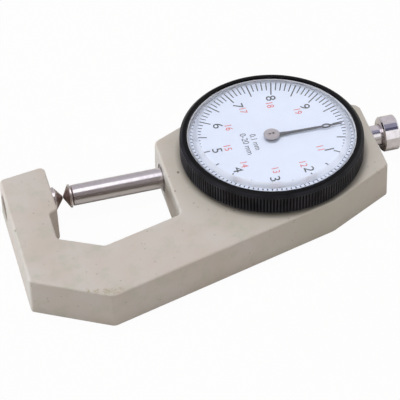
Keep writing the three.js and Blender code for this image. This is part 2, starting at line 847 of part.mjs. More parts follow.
function pointerNeedle() {
  const halfRoot = needleRootWidth / 2;
  const halfWaist = needleWaistWidth / 2;
  const halfTip = needleTipWidth / 2;
  const eyeStart = needleEyeReach - needleEyeLength / 2;
  const eyeSteps = 12;
  const eye = (length, width) => Array.from({ length: 2 * eyeSteps }, (unused, i) => {
    const angle = Math.PI * i / eyeSteps;
    const x = needleEyeReach + length / 2 * Math.cos(angle);
    return new THREE.Vector2(x, width / 2 * Math.sin(angle));
  });
  const blade = [
    [0, -halfRoot],
    [hubRadius, -halfRoot],
    [needleWaistReach, -halfWaist],
    [eyeStart + needleEyeWall, -halfTip],
    [eyeStart + needleEyeWall, halfTip],
    [needleWaistReach, halfWaist],
    [hubRadius, halfRoot],
    [0, halfRoot],
  ].map(([x, y]) => new THREE.Vector2(x, y));
  const point = [
    [needleEyeReach + needleEyeLength / 2 - needleEyeWall, -halfTip],
    [needleLength, -halfTip / 2],
    [needleLength, halfTip / 2],
    [needleEyeReach + needleEyeLength / 2 - needleEyeWall, halfTip],
  ].map(([x, y]) => new THREE.Vector2(x, y));
  const whole = join(
    slab(blade, needleBottom, needleTop),
    slab(point, needleBottom, needleTop),
    slab(eye(needleEyeLength, needleEyeWidth), needleBottom, needleTop),
    disc(hubRadius, needleBottom, needleTop, boreSegments),
  );
  const inside = eye(needleEyeLength - 2 * needleEyeWall, needleEyeWidth - 2 * needleEyeWall);
  const start = needleBottom - cutOverrun;
  const end = needleTop + cutOverrun;
  const bore = disc(journalRadius + fitGap, start, end, smallSegments);
  return cut(whole, slab(inside, start, end), bore);
}

function pointerHub() {
  return tube(journalRadius + fitGap, hubRadius, hubBottom, needleBottom - seatGap, boreSegments);
}

function pointerCap() {
  const bottom = needleTop + seatGap;
  const cap = turned([
    [0, hubTop + seatGap],
    [journalRadius + fitGap, hubTop + seatGap],
    [journalRadius + fitGap, bottom],
    [hubRadius, bottom],
    [hubRadius, hubTop],
    [capRadius, hubTop],
    [capRadius, capTop - capChamfer],
    [capRadius - capChamfer, capTop],
    [0, capTop],
  ], boreSegments);
  const holes = [-capHoleSpread, capHoleSpread].map((x) => {
    return discAt(x, 0, capHoleRadius, capTop - capHoleDepth, capTop + cutOverrun, screwSegments);
  });
  return cut(cap, ...holes);
}

// Bezel, dial and crystal

function bezelRing() {
  const skirtInner = collarRadius + airGap;
  const groove = snapRingMiddle + snapRingWidth / 2 + fitGap;
  const grooveHalf = snapRingThickness / 2 + fitGap;
  const wall = bezelRadius - knurlDepth;
  const shoulderRise = bezelTop - knurlTop;
  const profile = [
    [skirtInner, bezelBottom],
    [wall - knurlDepth, bezelBottom],
    [wall, knurlBottom - knurlDepth],
    [wall, knurlBottom + knurlDepth],
    [wall, knurlTop - knurlDepth],
    [bezelRadius, knurlTop],
    [bezelRadius - shoulderRise / 8, knurlTop + shoulderRise / 2],
    [bezelRadius - shoulderRise / 2, bezelTop - shoulderRise / 8],
    [bezelRadius - shoulderRise, bezelTop],
    [bezelInner + knurlDepth / 2, bezelTop],
    [bezelInner, bezelTop - knurlDepth / 2],
    [bezelInner, dialLedgeTop],
    [dialLedgeRadius, dialLedgeTop],
    [dialLedgeRadius, dialLedgeTop - dialLedgeThickness],
    [skirtInner, dialLedgeTop - dialLedgeThickness],
    [skirtInner, snapRingHeight + grooveHalf],
    [groove, snapRingHeight + grooveHalf],
    [groove, snapRingHeight - grooveHalf],
    [skirtInner, snapRingHeight - grooveHalf],
  ];
  const ridges = Array.from({ length: 2 * knurlCount }, (unused, i) => {
    const radius = i % 2 ? wall : bezelRadius;
    const angle = Math.PI * i / knurlCount;
    return new THREE.Vector2(radius * Math.cos(angle), radius * Math.sin(angle));
  });
  const band = new THREE.Shape(ridges);
  const bandInner = wall - knurlDepth;
  const inside = around(roundSegments, bandInner, 0).map(([x, y]) => new THREE.Vector2(x, -y));
  band.holes.push(new THREE.Path(inside));
  const knurl = new THREE.ExtrudeGeometry(band, { depth: knurlTop - knurlBottom, bevelEnabled: false });
  return join(turned(profile, roundSegments), mergeReady(knurl.translate(0, 0, knurlBottom)));
}

// ExtrudeGeometry has no index: gives it one, so that its corners can be merged.
function mergeReady(geometry) {
  geometry.deleteAttribute('normal');
  geometry.deleteAttribute('uv');
  return mergeVertices(geometry, 1e-5);
}

// A moulded cover: a flange and a bevel round a window that rises a little to its middle.
function crystal() {
  const inner = crystalRadius - crystalWall;
  const bottom = dialTop + seatGap;
  const dome = Array.from({ length: domeSteps + 1 }, (unused, i) => {
    const share = 1 - i / domeSteps;
    return [crystalDomeRadius * share, crystalTop + crystalDomeRise * (1 - share * share)];
  });
  const underside = dome.map(([radius, height]) => [radius, height - crystalThickness]);
  return turned([
    [inner, bottom],
    [crystalRadius, bottom],
    [crystalRadius, crystalRimTop],
    [crystalRimRadius, crystalRimTop],
    [crystalFlatRadius, crystalTop],
    ...dome,
    ...underside.reverse(),
    [inner, crystalTop - crystalThickness],
  ]);
}

function crystalGasket() {
  const middle = (crystalRadius + bezelInner) / 2;
  const half = gasketThickness / 2;
  return tube(middle - half, middle + half, dialTop + seatGap, bezelTop - gasketRecess);
}

function dialPlate() {
  return tube(dialHoleRadius, dialRadius, dialLedgeTop + seatGap, dialTop);
}

function bezelSnapRing() {
  const start = snapRingOpening / 2;
  const sweep = 2 * Math.PI - snapRingOpening;
  const steps = roundSegments - 4;
  const arc = (radius) => Array.from({ length: steps + 1 }, (unused, i) => {
    const angle = start + sweep * i / steps;
    return new THREE.Vector2(radius * Math.cos(angle), radius * Math.sin(angle));
  });
  const half = snapRingWidth / 2;
  const outline = [...arc(snapRingMiddle + half), ...arc(snapRingMiddle - half).reverse()];
  const halfHeight = snapRingThickness / 2;
  return slab(outline, snapRingHeight - halfHeight, snapRingHeight + halfHeight);
}

// Back cover

function backCover() {
  const cover = disc(coverRadius, 0, coverThickness);
  const holes = around(3, coverScrewReach, Math.PI / 2).flatMap(([x, y]) => [
    discAt(x, y, screwShank + fitGap, -cutOverrun, frameDepth, screwSegments),
    discAt(x, y, screwHead + fitGap, -cutOverrun, screwSunk + seatGap, screwSegments),
  ]);
  return cut(cover, ...holes);
}

const gauge = new THREE.Group();
const groups = {};

function add(body, name, geometry, material, place = [0, 0, 0], flipped = false) {
  if (!groups[body]) {
    groups[body] = new THREE.Group();
    gauge.add(groups[body]);
  }
  const mesh = new THREE.Mesh(geometry, material);
  mesh.name = name;
  mesh.position.set(...place);
  if (flipped) mesh.rotation.x = Math.PI;
  groups[body].add(mesh);
}

function addFrame() {
  add('frame', 'frame_casting', frameCasting(), paint);
  add('frame', 'anvil', anvil(), darkSteel);
  add('frame', 'front_spindle_bush', frontBush(), steel);
  add('frame', 'rear_spindle_bush', rearBush(), steel);
  add('frame', 'back_cover', backCover(), paint);
  around(3, coverScrewReach, Math.PI / 2).forEach(([x, y], i) => {
    const place = [x, y, screwSunk];
    add('frame', `back_cover_screw_${i + 1}`, slottedScrew(screwBite), steel, place, true);
  });
}

function addMovement() {
  add('frame', 'movement_plate', movementPlate(), brass);
  around(3, castPillarReach, Math.PI / 2).forEach(([x, y], i) => {
    const place = [x, y, plateTop + seatGap];
    add('frame', `movement_plate_screw_${i + 1}`, slottedScrew(plateScrewLength()), steel, place);
  });
  add('frame', 'guide_rail', guideRail(), steel);
  railScrewPlaces().forEach(([x, y], i) => {
    const place = [x, y, plateTop + seatGap];
    add('frame', `guide_rail_screw_${i + 1}`, slottedScrew(plateThickness + railThickness), steel, place);
  });
  add('frame', 'spring_post', springPost(), steel);
  add('frame', 'return_spring', mergeReady(returnSpring()), steel);
  add('frame', 'lower_bridge', lowerBridge(), brass);
  bridgePlaces().forEach((place, i) => {
    const side = ['left', 'right'][i];
    const seat = [...place, bridgeBottom + screwSunk];
    add('frame', `bridge_pillar_${side}`, bridgePillar(place), brass);
    add('frame', `bridge_screw_${side}`, slottedScrew(screwBite), steel, seat, true);
  });
  add('frame', 'lower_pivot_bearing', pivotBearing(bridgeBottom, bridgeTop, pivotRadius + runGap), brass);
  add('frame', 'upper_pivot_bearing', pivotBearing(plateBottom, plateTop, journalRadius + runGap), brass);
  add('frame', 'hairspring_stud', hairspringStud(), brass);
  add('frame', 'hairspring', hairspring(), steel);
  add('frame', 'bezel_snap_ring', bezelSnapRing(), steel);
}

function addSpindle() {
  add('spindle', 'spindle_rod', spindleRod(), steel);
  add('spindle', 'contact_tip', contactTip(), darkSteel);
  add('spindle', 'guide_pin', guidePin(), steel);
  add('spindle', 'pull_knob', pullKnob(), chrome);
}

function addPointer() {
  add('pointer', 'pinion_arbor', pinionArbor(), steel);
  add('pointer', 'hairspring_collet', hairspringCollet(), brass);
  add('pointer', 'pointer_hub', pointerHub(), needleGrey);
  add('pointer', 'pointer_needle', pointerNeedle(), needleGrey);
  add('pointer', 'pointer_cap', pointerCap(), capGrey);
}

function addBezel() {
  add('bezel', 'bezel_ring', bezelRing(), blackAnodised);
  add('bezel', 'dial_plate', dialPlate(), dialWhite);
  add('bezel', 'crystal', crystal(), clearAcrylic);
  add('bezel', 'crystal_gasket', crystalGasket(), gasketTan);
}

addFrame();
addMovement();
addSpindle();
addPointer();
addBezel();

export default gauge;
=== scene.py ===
"""The looks of a dial thickness gauge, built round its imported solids.

Shapes are modelled in millimetres in the part's own frame, and scaled to metres when a piece is made.
"""

import json
import math

import bmesh
import bpy
from mathutils import Matrix, Vector


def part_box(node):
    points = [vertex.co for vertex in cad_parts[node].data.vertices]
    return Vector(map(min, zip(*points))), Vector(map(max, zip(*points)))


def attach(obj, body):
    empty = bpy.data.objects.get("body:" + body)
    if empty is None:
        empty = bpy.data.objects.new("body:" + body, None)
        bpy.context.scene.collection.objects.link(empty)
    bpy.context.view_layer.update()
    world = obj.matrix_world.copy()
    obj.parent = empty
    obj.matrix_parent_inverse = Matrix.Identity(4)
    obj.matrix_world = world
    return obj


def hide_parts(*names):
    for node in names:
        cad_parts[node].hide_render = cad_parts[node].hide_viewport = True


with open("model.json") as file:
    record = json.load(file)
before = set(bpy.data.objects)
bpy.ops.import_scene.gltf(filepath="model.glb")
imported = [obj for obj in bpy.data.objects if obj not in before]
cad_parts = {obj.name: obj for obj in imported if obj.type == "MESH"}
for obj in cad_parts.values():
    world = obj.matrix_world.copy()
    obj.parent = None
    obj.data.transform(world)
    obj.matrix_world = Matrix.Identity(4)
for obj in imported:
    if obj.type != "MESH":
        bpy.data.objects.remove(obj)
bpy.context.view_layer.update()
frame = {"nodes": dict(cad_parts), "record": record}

MM = 0.001

# Camera: its direction from the object, what it looks at, how far off it stands and its lens
CAMERA_AZIMUTH = math.radians(-14.08)
CAMERA_ELEVATION = math.radians(43.8)
CAMERA_ROLL = math.radians(-1.47)
CAMERA_TARGET = (-19.155, -6.48, 5.0)
CAMERA_DISTANCE = 508.2
CAMERA_LENS = 197.66
CAMERA_SENSOR = 36

# Studio
FLOOR_REACH = 4000
FLOOR_HEIGHT = -0.02
FLOOR_SEEN_WHITE = 0.965
WORLD_LIGHT = 0.58
OVERHEAD_HEIGHT = 300

# Facets of the round pieces
ROUND = 240
BORE = 96
SMALL = 48
HOLE = 24
ARC_STEP = math.radians(5)

# A profile's point nearer to the axis than this lies on it
ON_AXIS = 1e-6

# Casting
FRAME_DEPTH = 9.7
DRAFT = 0.15
FRONT_ROUND = 0.6
BACK_ROUND = 0.3
ARM_FOOT = 25.85
ARM_WIDTH = 9.2
ARM_TIP_RISE = 8.4
HEAD_WIDTH = 11.25
HEAD_RISE = 10.2
HEAD_FOOT = 4.75
HEAD_STEP = 1.1
ELBOW_REACH = 46.45
ELBOW_DROP = 35.35
BEND_REACH = 9.1
BEND_DROP = 20.2
BODY_LEFT = 25.85
RIGHT_CORNER_DROP = 11.75
RIGHT_SHOULDER = 9.95
LEFT_SHOULDER = 11.05
BACK_RISE = 23.4
THROAT_FOOT = 14.05
THROAT_ELBOW_REACH = 44.6
THROAT_DEPTH = 19.1
POCKET_FLOOR = 2.2
POCKET_WALL = 1.4
PILLAR_RADIUS = 2.3
POST_RADIUS = 0.7
COVER_LEDGE = 2.9
SNAP_GROOVE = 0.37
ANVIL_MOUTH_RADIUS = 3.1
ANVIL_MOUTH_DEPTH = 2.4
ANVIL_SHANK_RADIUS = 2.08

# How far a cutter runs past what it cuts, and the gaps between pieces
OVERRUN = 1
GAP = 0.12
BUSH_GAP = 0.03
BUSH_PLAY = 0.06
RACK_PLAY = 0.03

# Screws
SCREW_SHANK = 0.6
SCREW_HEAD = 1.25
SCREW_HEAD_HEIGHT = 0.55
SCREW_LENGTH = 1.9
SCREW_SEAT = 0.6
COVER_HOLE_END = 3.7
PLATE_HOLE_DEPTH = 2.65
HOLE_START = 0.5

# Spindle, contacts and knob
TRAVEL = 20
ANVIL_CONE = 1.9
TIP_CONE = 1.45
NOSE_RADIUS = 0.9
TIP_NECK = 1.7
TIP_STUD = 1.1
KNOB_STUD = 1.3
KNOB_STUD_LENGTH = 2.2
PIN_RADIUS = 0.8

# Rack: travel to a turn of the pinion, its teeth, their flanks and their root's depth in modules
TURN_TRAVEL = 10
PINION_TEETH = 16
PRESSURE_ANGLE = math.radians(20)
ROOT_DEPTH = 1.25

# Bezel and dial
BEZEL_LIP = 1.7
BEZEL_SKIRT = 1.1
LEDGE_WIDTH = 1.3
LEDGE_THICKNESS = 0.6
KNURL_START = 0.4
KNURL_END = 4.75
FLUTES = 180
FLUTE_DEPTH = 0.3
FLUTE_FADE = 0.25
FLUTE_SHAPE = (0, 0, 0.35, 0.85, 1, 0.85, 0.35, 0)
DIAL_HOLE_RADIUS = 1
DIAL_ZERO = math.radians(2.2)
TICKS = 100
TICK_END = 19.1
SHORT_TICK_START = 16.5
MEDIUM_TICK_START = 15.05
LONG_TICK_START = 14.95
TICK_WIDTH = 0.25
LONG_TICK_WIDTH = 0.29
PRINT_THICKNESS = 0.015
BLACK_NUMBER_HEIGHT = 2.45
RED_NUMBER_HEIGHT = 1.75
NOTE_HEIGHT = 1.5
FIGURE_TO_FONT_SIZE = 0.73

# Middles of the black numbers from 1 to 9 on the dial, each with that of the red one ten higher
NUMBER_PLACES = (
    ((11.66, -7.67), (9.82, -6.64)),
    ((5.24, -12.76), (4.44, -10.60)),
    ((-3.10, -13.69), (-2.18, -10.87)),
    ((-10.39, -8.41), (-8.58, -6.99)),
    ((-13.23, -0.82), (-10.69, -0.53)),
    ((-10.83, 7.32), (-8.59, 6.14)),
    ((-4.40, 12.76), (-3.70, 10.95)),
    ((3.75, 13.24), (2.88, 11.07)),
    ((10.64, 8.11), (8.52, 7.09)),
)

# Pointer
ARBOR_RADIUS = 0.62
HUB_RADIUS = 1.45
CAP_RADIUS = 1.85
CAP_THICKNESS = 0.4
NEEDLE_SHORTENED = 1.1
NEEDLE_TURN = math.radians(-1.4)

# Crystal
CRYSTAL_THICKNESS = 1.2
CRYSTAL_RIM_RECESS = 0.5
CRYSTAL_RIM_WIDTH = 0.92
CRYSTAL_BEVEL = 1.3
CRYSTAL_WALL = 0.35
CRYSTAL_FOOT_GAP = 0.03
DOME_INSET = 2
DOME_RISE = 0.4
SEAL_WIDTH = 0.22
FROST_ROUGHNESS = 0.3
ACRYLIC_IOR = 1.49


def sized(node):
    """A CAD node's lowest and highest corners, in millimetres."""
    low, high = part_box(node)
    return low / MM, high / MM


def linear(red, green, blue):
    """A colour given as it looks on a screen, from 0 to 255, as a shader takes it."""
    def channel(value):
        share = value / 255
        return share / 12.92 if share <= 0.04045 else ((share + 0.055) / 1.055) ** 2.4
    return channel(red), channel(green), channel(blue), 1


casting_low, casting_high = sized("frame_casting")
rod_low, rod_high = sized("spindle_rod")
bezel_low, bezel_high = sized("bezel_ring")
dial_low, dial_high = sized("dial_plate")
crystal_low, crystal_high = sized("crystal")
needle_low, needle_high = sized("pointer_needle")
cap_low, cap_high = sized("pointer_cap")
hub_low, hub_high = sized("pointer_hub")
knob_low, knob_high = sized("pull_knob")
tip_low, tip_high = sized("contact_tip")
anvil_low, anvil_high = sized("anvil")

BEVEL_RADIUS = crystal_high.x - CRYSTAL_RIM_WIDTH
WINDOW_RADIUS = BEVEL_RADIUS - CRYSTAL_BEVEL
SPINDLE_Y = (rod_low.y + rod_high.y) / 2
SPINDLE_Z = (rod_low.z + rod_high.z) / 2
SPINDLE_RADIUS = (rod_high.z - rod_low.z) / 2
CONTACT_RADIUS = (tip_high.z - tip_low.z) / 2
BEZEL_RADIUS = bezel_high.x
FLUTE_WALL = BEZEL_RADIUS - FLUTE_DEPTH
KNURL_BOTTOM = bezel_low.z + KNURL_START
KNURL_TOP = bezel_low.z + KNURL_END
CRYSTAL_RIM = bezel_high.z - CRYSTAL_RIM_RECESS
CRYSTAL_SKIRT = crystal_high.x - CRYSTAL_WALL


# Meshes

def rounded(corners, step=ARC_STEP):
    """Points of a closed outline from (x, y, radius) corners; a corner of no radius stays sharp."""
    points = []
    for i, (x, y, radius) in enumerate(corners):
        corner = Vector((x, y))
        if not radius:
            points.append(corner)
            continue
        inward = (Vector(corners[i - 1][:2]) - corner).normalized()
        outward = (Vector(corners[(i + 1) % len(corners)][:2]) - corner).normalized()
        half = math.acos(max(-1, min(1, inward.dot(outward)))) / 2
        centre = corner + (inward + outward).normalized() * radius / math.sin(half)
        start = corner + inward * radius / math.tan(half) - centre
        end = corner + outward * radius / math.tan(half) - centre
        sweep = math.atan2(start.x * end.y - start.y * end.x, start.dot(end))
        steps = max(2, round(abs(sweep) / step))
        for k in range(steps + 1):
            points.append(centre + Matrix.Rotation(sweep * k / steps, 2) @ start)
    return points


def inset(outline, distance):
    """A counterclockwise outline with each side moved inward."""
    points = [Vector(point) for point in outline]
    moved = []
    for i, point in enumerate(points):
        before = (point - points[i - 1]).normalized()
        after = (points[(i + 1) % len(points)] - point).normalized()
        normal = Vector((-before.y - after.y, before.x + after.x)).normalized()
        share = normal.dot(Vector((-before.y, before.x)))
        moved.append(point + normal * distance / share)
    return moved


def mesh_of(name, points, faces):
    mesh = bpy.data.meshes.new(name)
    mesh.from_pydata([tuple(point) for point in points], [], faces)
    mesh.update()
    return mesh


def lofted(outline, levels):
    """A block whose outline is inset by another amount at each (height, inset) level, bottom first."""
    points = []
    for height, distance in levels:
        points += [(x, y, height) for x, y in inset(outline, distance)]
    count = len(outline)
    faces = [tuple(reversed(range(count)))]
    for level in range(len(levels) - 1):
        for i in range(count):
            a = level * count + i
            b = level * count + (i + 1) % count
            faces.append((a, b, b + count, a + count))
    faces.append(tuple(range((len(levels) - 1) * count, len(levels) * count)))
    return mesh_of("loft", points, faces)


def slab(outline, bottom, top):
    return lofted(outline, [(bottom, 0), (top, 0)])


def turned(profile, segments=ROUND, wave=None):
    """A solid of revolution about Z. The profile runs counterclockwise from the axis, or round a ring.

    wave(share, radius, height) changes the radius round the circle.
    """
    points = []
    rings = []
    for radius, height in profile:
        if radius < ON_AXIS:
            rings.append([len(points)] * segments)
            points.append((0, 0, height))
            continue
        rings.append(list(range(len(points), len(points) + segments)))
        for i in range(segments):
            reach = wave(i / segments, radius, height) if wave else radius
            angle = 2 * math.pi * i / segments
            points.append((reach * math.cos(angle), reach * math.sin(angle), height))
    closes = profile[0][0] >= ON_AXIS
    faces = []
    for k in range(len(rings) if closes else len(rings) - 1):
        below, above = rings[k], rings[(k + 1) % len(rings)]
        for i in range(segments):
            j = (i + 1) % segments
            corners = [below[i], below[j], above[j], above[i]]
            face = [c for n, c in enumerate(corners) if c not in corners[:n]]
            if len(face) > 2:
                faces.append(face)
    return mesh_of("turned", points, faces)


def on_spindle(mesh):
    """Lays a solid that was turned about Z along the spindle's axis, its heights along X."""
    place = Matrix.Translation((0, SPINDLE_Y, SPINDLE_Z)) @ Matrix.Rotation(math.pi / 2, 4, "Y")
    mesh.transform(place)
    return mesh


def rod(radius, bottom, top, segments=BORE):
    return turned([(0, bottom), (radius, bottom), (radius, top), (0, top)], segments)


def rod_at(x, y, radius, bottom, top, segments=SMALL):
    mesh = rod(radius, bottom, top, segments)
    mesh.transform(Matrix.Translation((x, y, 0)))
    return mesh


def ring(inner, outer, bottom, top, segments=ROUND):
    return turned([(inner, bottom), (outer, bottom), (outer, top), (inner, top)], segments)


def soft_ring(inner, outer, bottom, top, rounds, segments=ROUND):
    """A ring with rounded edges, in the order inner and outer below, then outer and inner above."""
    corners = ((inner, bottom), (outer, bottom), (outer, top), (inner, top))
    profile = rounded([(*corner, radius) for corner, radius in zip(corners, rounds)])
    return turned(profile, segments)


def box(x0, x1, y0, y1, z0, z1):
    return slab([(x0, y0), (x1, y0), (x1, y1), (x0, y1)], z0, z1)


def around(count, reach, start):
    angles = [start + 2 * math.pi * i / count for i in range(count)]
    return [(reach * math.cos(angle), reach * math.sin(angle)) for angle in angles]


def placed(name, data):
    """A new object in the scene."""
    made = bpy.data.objects.new(name, data)
    bpy.context.scene.collection.objects.link(made)
    return made


def evaluated(made):
    """The mesh that an object has after its modifiers."""
    bpy.context.view_layer.update()
    return bpy.data.meshes.new_from_object(made.evaluated_get(bpy.context.evaluated_depsgraph_get()))


def worked(mesh, add=(), cut=(), bevel=0):
    """The mesh with others joined to it and cut from it, and its sharp edges rounded."""
    base = placed("base", mesh)
    tools = []
    for operation, others in (("UNION", add), ("DIFFERENCE", cut)):
        for other in others:
            tool = placed("tool", other)
            tools.append(tool)
            modifier = base.modifiers.new("boolean", "BOOLEAN")
            modifier.operation = operation
            modifier.object = tool
            modifier.solver = "EXACT"
    if bevel:
        modifier = base.modifiers.new("bevel", "BEVEL")
        modifier.width = bevel
        modifier.segments = 2
        modifier.limit_method = "ANGLE"
        modifier.angle_limit = math.radians(40)
    result = evaluated(base)
    for used in [base, *tools]:
        old = used.data
        bpy.data.objects.remove(used)
        bpy.data.meshes.remove(old)
    return result


def joined(meshes):
    """Several meshes as one, without a boolean."""
    whole = bmesh.new()
    for mesh in meshes:
        whole.from_mesh(mesh)
    result = bpy.data.meshes.new("joined")
    whole.to_mesh(result)
    whole.free()
    return result


def piece(name, mesh, body, slot, *nodes, material=None, crease=32):
    """Makes a visible piece of a mesh, on its body and in place of the CAD nodes that it stands for."""
    mesh.transform(Matrix.Scale(MM, 4))
    mesh.materials.clear()
    mesh.materials.append(material or SLOT_MATERIALS[slot])
    mesh.shade_smooth()
    mesh.set_sharp_from_angle(angle=math.radians(crease))
    made = placed(name, mesh)
    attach(made, body)
    if nodes:
        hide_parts(*nodes)


# Materials

def node_maker(tree):
    """A function that adds a node to an emptied tree, from its kind, sockets and settings."""
    tree.nodes.clear()

    def node(kind, sockets=None, **settings):
        made = tree.nodes.new("ShaderNode" + kind)
        for key, value in settings.items():
            setattr(made, key, value)
        for key, value in (sockets or {}).items():
            if isinstance(value, bpy.types.NodeSocket):
                tree.links.new(value, made.inputs[key])
            else:
                made.inputs[key].default_value = value
        return made

    return node


def shader(name):
    """A new material, and the function that adds its nodes."""
    material = bpy.data.materials.new(name)
    material.use_nodes = True
    return material, node_maker(material.node_tree)


def millimetres(node):
    """The place on the piece, in millimetres."""
    place = node("TexCoord").outputs["Object"]
    return node("VectorMath", {0: place, "Scale": 1 / MM}, operation="SCALE").outputs["Vector"]


def height_of(node, place):
    return node("SeparateXYZ", {0: place}).outputs[2]


def axis_distance(node, place, point=(0, 0, 0), across=(1, 1, 0)):
    """How far a place is from an axis through a point, which is the dial's unless given."""
    away = node("VectorMath", {0: place, 1: point}, operation="SUBTRACT").outputs[0]
    flat = node("VectorMath", {0: away, 1: across}, operation="MULTIPLY").outputs[0]
    return node("VectorMath", {0: flat}, operation="LENGTH").outputs["Value"]


def spindle_distance(node, place):
    return axis_distance(node, place, (0, SPINDLE_Y, SPINDLE_Z), (0, 1, 1))


def noise(node, place, scale, detail=3, roughness=0.5):
    sockets = {"Vector": place, "Scale": scale, "Detail": detail, "Roughness": roughness}
    return node("TexNoise", sockets).outputs["Fac"]


def spread(node, value, low, high, to_low=0, to_high=1):
    """Maps one range of a value to another and holds it there."""
    sockets = {"Value": value, "From Min": low, "From Max": high, "To Min": to_low, "To Max": to_high}
    return node("MapRange", sockets).outputs["Result"]


def maths(node, operation, value, *others):
    """One operation over two or more values, from the left."""
    for other in others:
        value = node("Math", {0: value, 1: other}, operation=operation).outputs[0]
    return value


def product(node, *values):
    return maths(node, "MULTIPLY", *values)


def most(node, *values):
    return maths(node, "MAXIMUM", *values)


def blend(node, share, first, second):
    """Mixes two colours; a share of 1 gives the second."""
    return node("Mix", {0: share, 6: first, 7: second}, data_type="RGBA").outputs[2]


def bumped(node, height, distance, strength, normal=None):
    sockets = {"Height": height, "Distance": distance * MM, "Strength": strength}
    if normal is not None:
        sockets["Normal"] = normal
    return node("Bump", sockets).outputs["Normal"]


def darker(colour, share):
    return tuple(share * channel for channel in colour[:3]) + (1,)


def shown(node, surface):
    node("OutputMaterial", {"Surface": surface.outputs[0]})


def finished(node, sockets):
    shown(node, node("BsdfPrincipled", sockets))


def finished_metal(node, tint, gloss, normal):
    finished(node, {"Base Color": tint, "Metallic": 1.0, "Roughness": gloss, "Normal": normal})


PAINT = linear(205, 197, 190)
PAINT_WARM = linear(203, 191, 182)
PAINT_GREEN = linear(186, 185, 171)
# Colour of the dirt, and of the painted shade at the bezel's foot
GRIME_AND_SHADE = linear(92, 80, 68)
CHIP = linear(158, 145, 104)
# Tone of the painted dark reflection on the spindle rod
REFLECTED_SHADE = linear(110, 98, 92)
# Tone of the painted dark reflection on the knob's back
BACK_SHADE = linear(128, 116, 108)

# Dark marks in the paint: place on the top face and radius
MARKS = (
    (-13.6, -16.6, 0.45), (-12.6, -16.9, 0.3), (-22.8, -0.8, 0.5), (-40.6, -15.5, 0.35),
    (-63.0, -9.2, 0.5), (-24.0, -2.4, 0.22), (-25.1, -6.9, 0.2), (-52.4, 6.6, 0.3),
    (21.3, -13.6, 0.45), (19.2, -17.2, 0.35), (17.6, -20.5, 0.3), (-35.9, -21.5, 0.25),
    (-40.7, -27.3, 0.25),
)

# Worn chips along the front vertex: place and radius
CHIPS = (
    (-51.4, -31.9, 0.7), (-49.6, -32.7, 1.0), (-47.6, -33.5, 1.2), (-45.8, -33.9, 1.2),
    (-44.2, -33.6, 0.9),
)


def nearness(node, place, spots, ragged):
    """1 inside any of the spots, falling to 0 at its edge, which the ragged value moves in and out."""
    insides = []
    for x, y, radius in spots:
        middle = (x, y, FRAME_DEPTH)
        away = node("VectorMath", {0: place, 1: middle}, operation="DISTANCE").outputs["Value"]
        insides.append(spread(node, maths(node, "ADD", away, ragged), radius * 0.4, radius, 1, 0))
    return most(node, *insides)


def paint_tone(node, place):
    """The paint's own colour: warm patches, greener ones round the bezel, and a fine grain."""
    patches = spread(node, noise(node, place, 0.11), 0.38, 0.64)
    tint = blend(node, patches, PAINT, PAINT_WARM)
    cool = spread(node, noise(node, place, 0.23, 4, 0.6), 0.5, 0.68, 0, 0.6)
    handled = spread(node, axis_distance(node, place), 20, 29, 0.55, 0)
    tint = blend(node, most(node, cool, handled), tint, PAINT_GREEN)
    grain = spread(node, noise(node, place, 3.2, 3, 0.65), 0.62, 0.8, 0, 0.22)
    return blend(node, grain, tint, PAINT_GREEN)


def paint_dirt(node, place, ragged):
    """How dirty the paint is: specks all over and the dark marks, with a painted shade in a ring at the
    bezel's foot.
    """
    cells = node("TexVoronoi", {"Vector": place, "Scale": 0.62, "Randomness": 1})
    picked = spread(node, cells.outputs["Color"], 0.55, 0.62)
    dot = spread(node, cells.outputs["Distance"], 0.06, 0.15, 0.42, 0)
    speck = product(node, dot, picked)
    mark = product(node, nearness(node, place, MARKS, ragged), 0.75)
    # Painted shade: the paint is darkened in a ring round the bezel's foot, where the bezel shades the
    # frame.
    foot = spread(node, axis_distance(node, place), BEZEL_RADIUS, BEZEL_RADIUS + 1.3, 0.5, 0)
    top_face = spread(node, height_of(node, place), FRAME_DEPTH - 0.2, FRAME_DEPTH - 0.1)
    return most(node, speck, mark, product(node, foot, top_face))


def frame_paint():
    material, node = shader("grey_beige_enamel")
    place = millimetres(node)
    ragged = spread(node, noise(node, place, 1.9), 0.3, 0.7, -0.25, 0.35)
    tint = blend(node, paint_dirt(node, place, ragged), paint_tone(node, place), GRIME_AND_SHADE)
    worn = spread(node, noise(node, place, 2.4, 4, 0.7), 0.42, 0.6)
    chip = product(node, nearness(node, place, CHIPS, ragged), worn, 0.8)
    tint = blend(node, chip, tint, CHIP)
    peel = bumped(node, noise(node, place, 0.9, 2), 0.06, 0.5)
    fine = bumped(node, noise(node, place, 4.5, 3, 0.6), 0.02, 0.5, peel)
    gloss = spread(node, noise(node, place, 0.6), 0.3, 0.7, 0.36, 0.46)
    finished(node, {"Base Color": tint, "Roughness": gloss, "Normal": fine, "IOR": 1.5})
    return material


def lathe_marks(node, place, scale):
    """Noise that only changes along the spindle and away from its axis, as a turning tool leaves it."""
    along = node("SeparateXYZ", {0: place}).outputs[0]
    ring_place = node("CombineXYZ", {0: along, 1: spindle_distance(node, place), 2: 0.0}).outputs[0]
    return noise(node, ring_place, scale, 3, 0.6)


def oil_film(node, place, tint):
    """A painted dark reflection on all but the top of the rod, darkest near its upper edge."""
    height = height_of(node, place)
    below_top_band = spread(node, height, SPINDLE_Z + 1.25, SPINDLE_Z + 1.45, 1, 0)
    shade_depth = spread(node, height, SPINDLE_Z + 0.2, SPINDLE_Z + 0.8, 0.25, 0.6)
    return blend(node, product(node, below_top_band, shade_depth), tint, REFLECTED_SHADE)


def dull_back(node, place, tint):
    """The lower half of the knob's back, darkened as a painted reflection of the shaded gap beside the
    frame.
    """
    shade_from = knob_low.x + 0.25
    parts = node("SeparateXYZ", {0: place})
    on_back = spread(node, parts.outputs[0], shade_from, shade_from + 0.1, 1, 0)
    lower = spread(node, parts.outputs[2], SPINDLE_Z - 0.5, SPINDLE_Z + 1.5, 1, 0)
    return blend(node, product(node, on_back, lower), tint, BACK_SHADE)


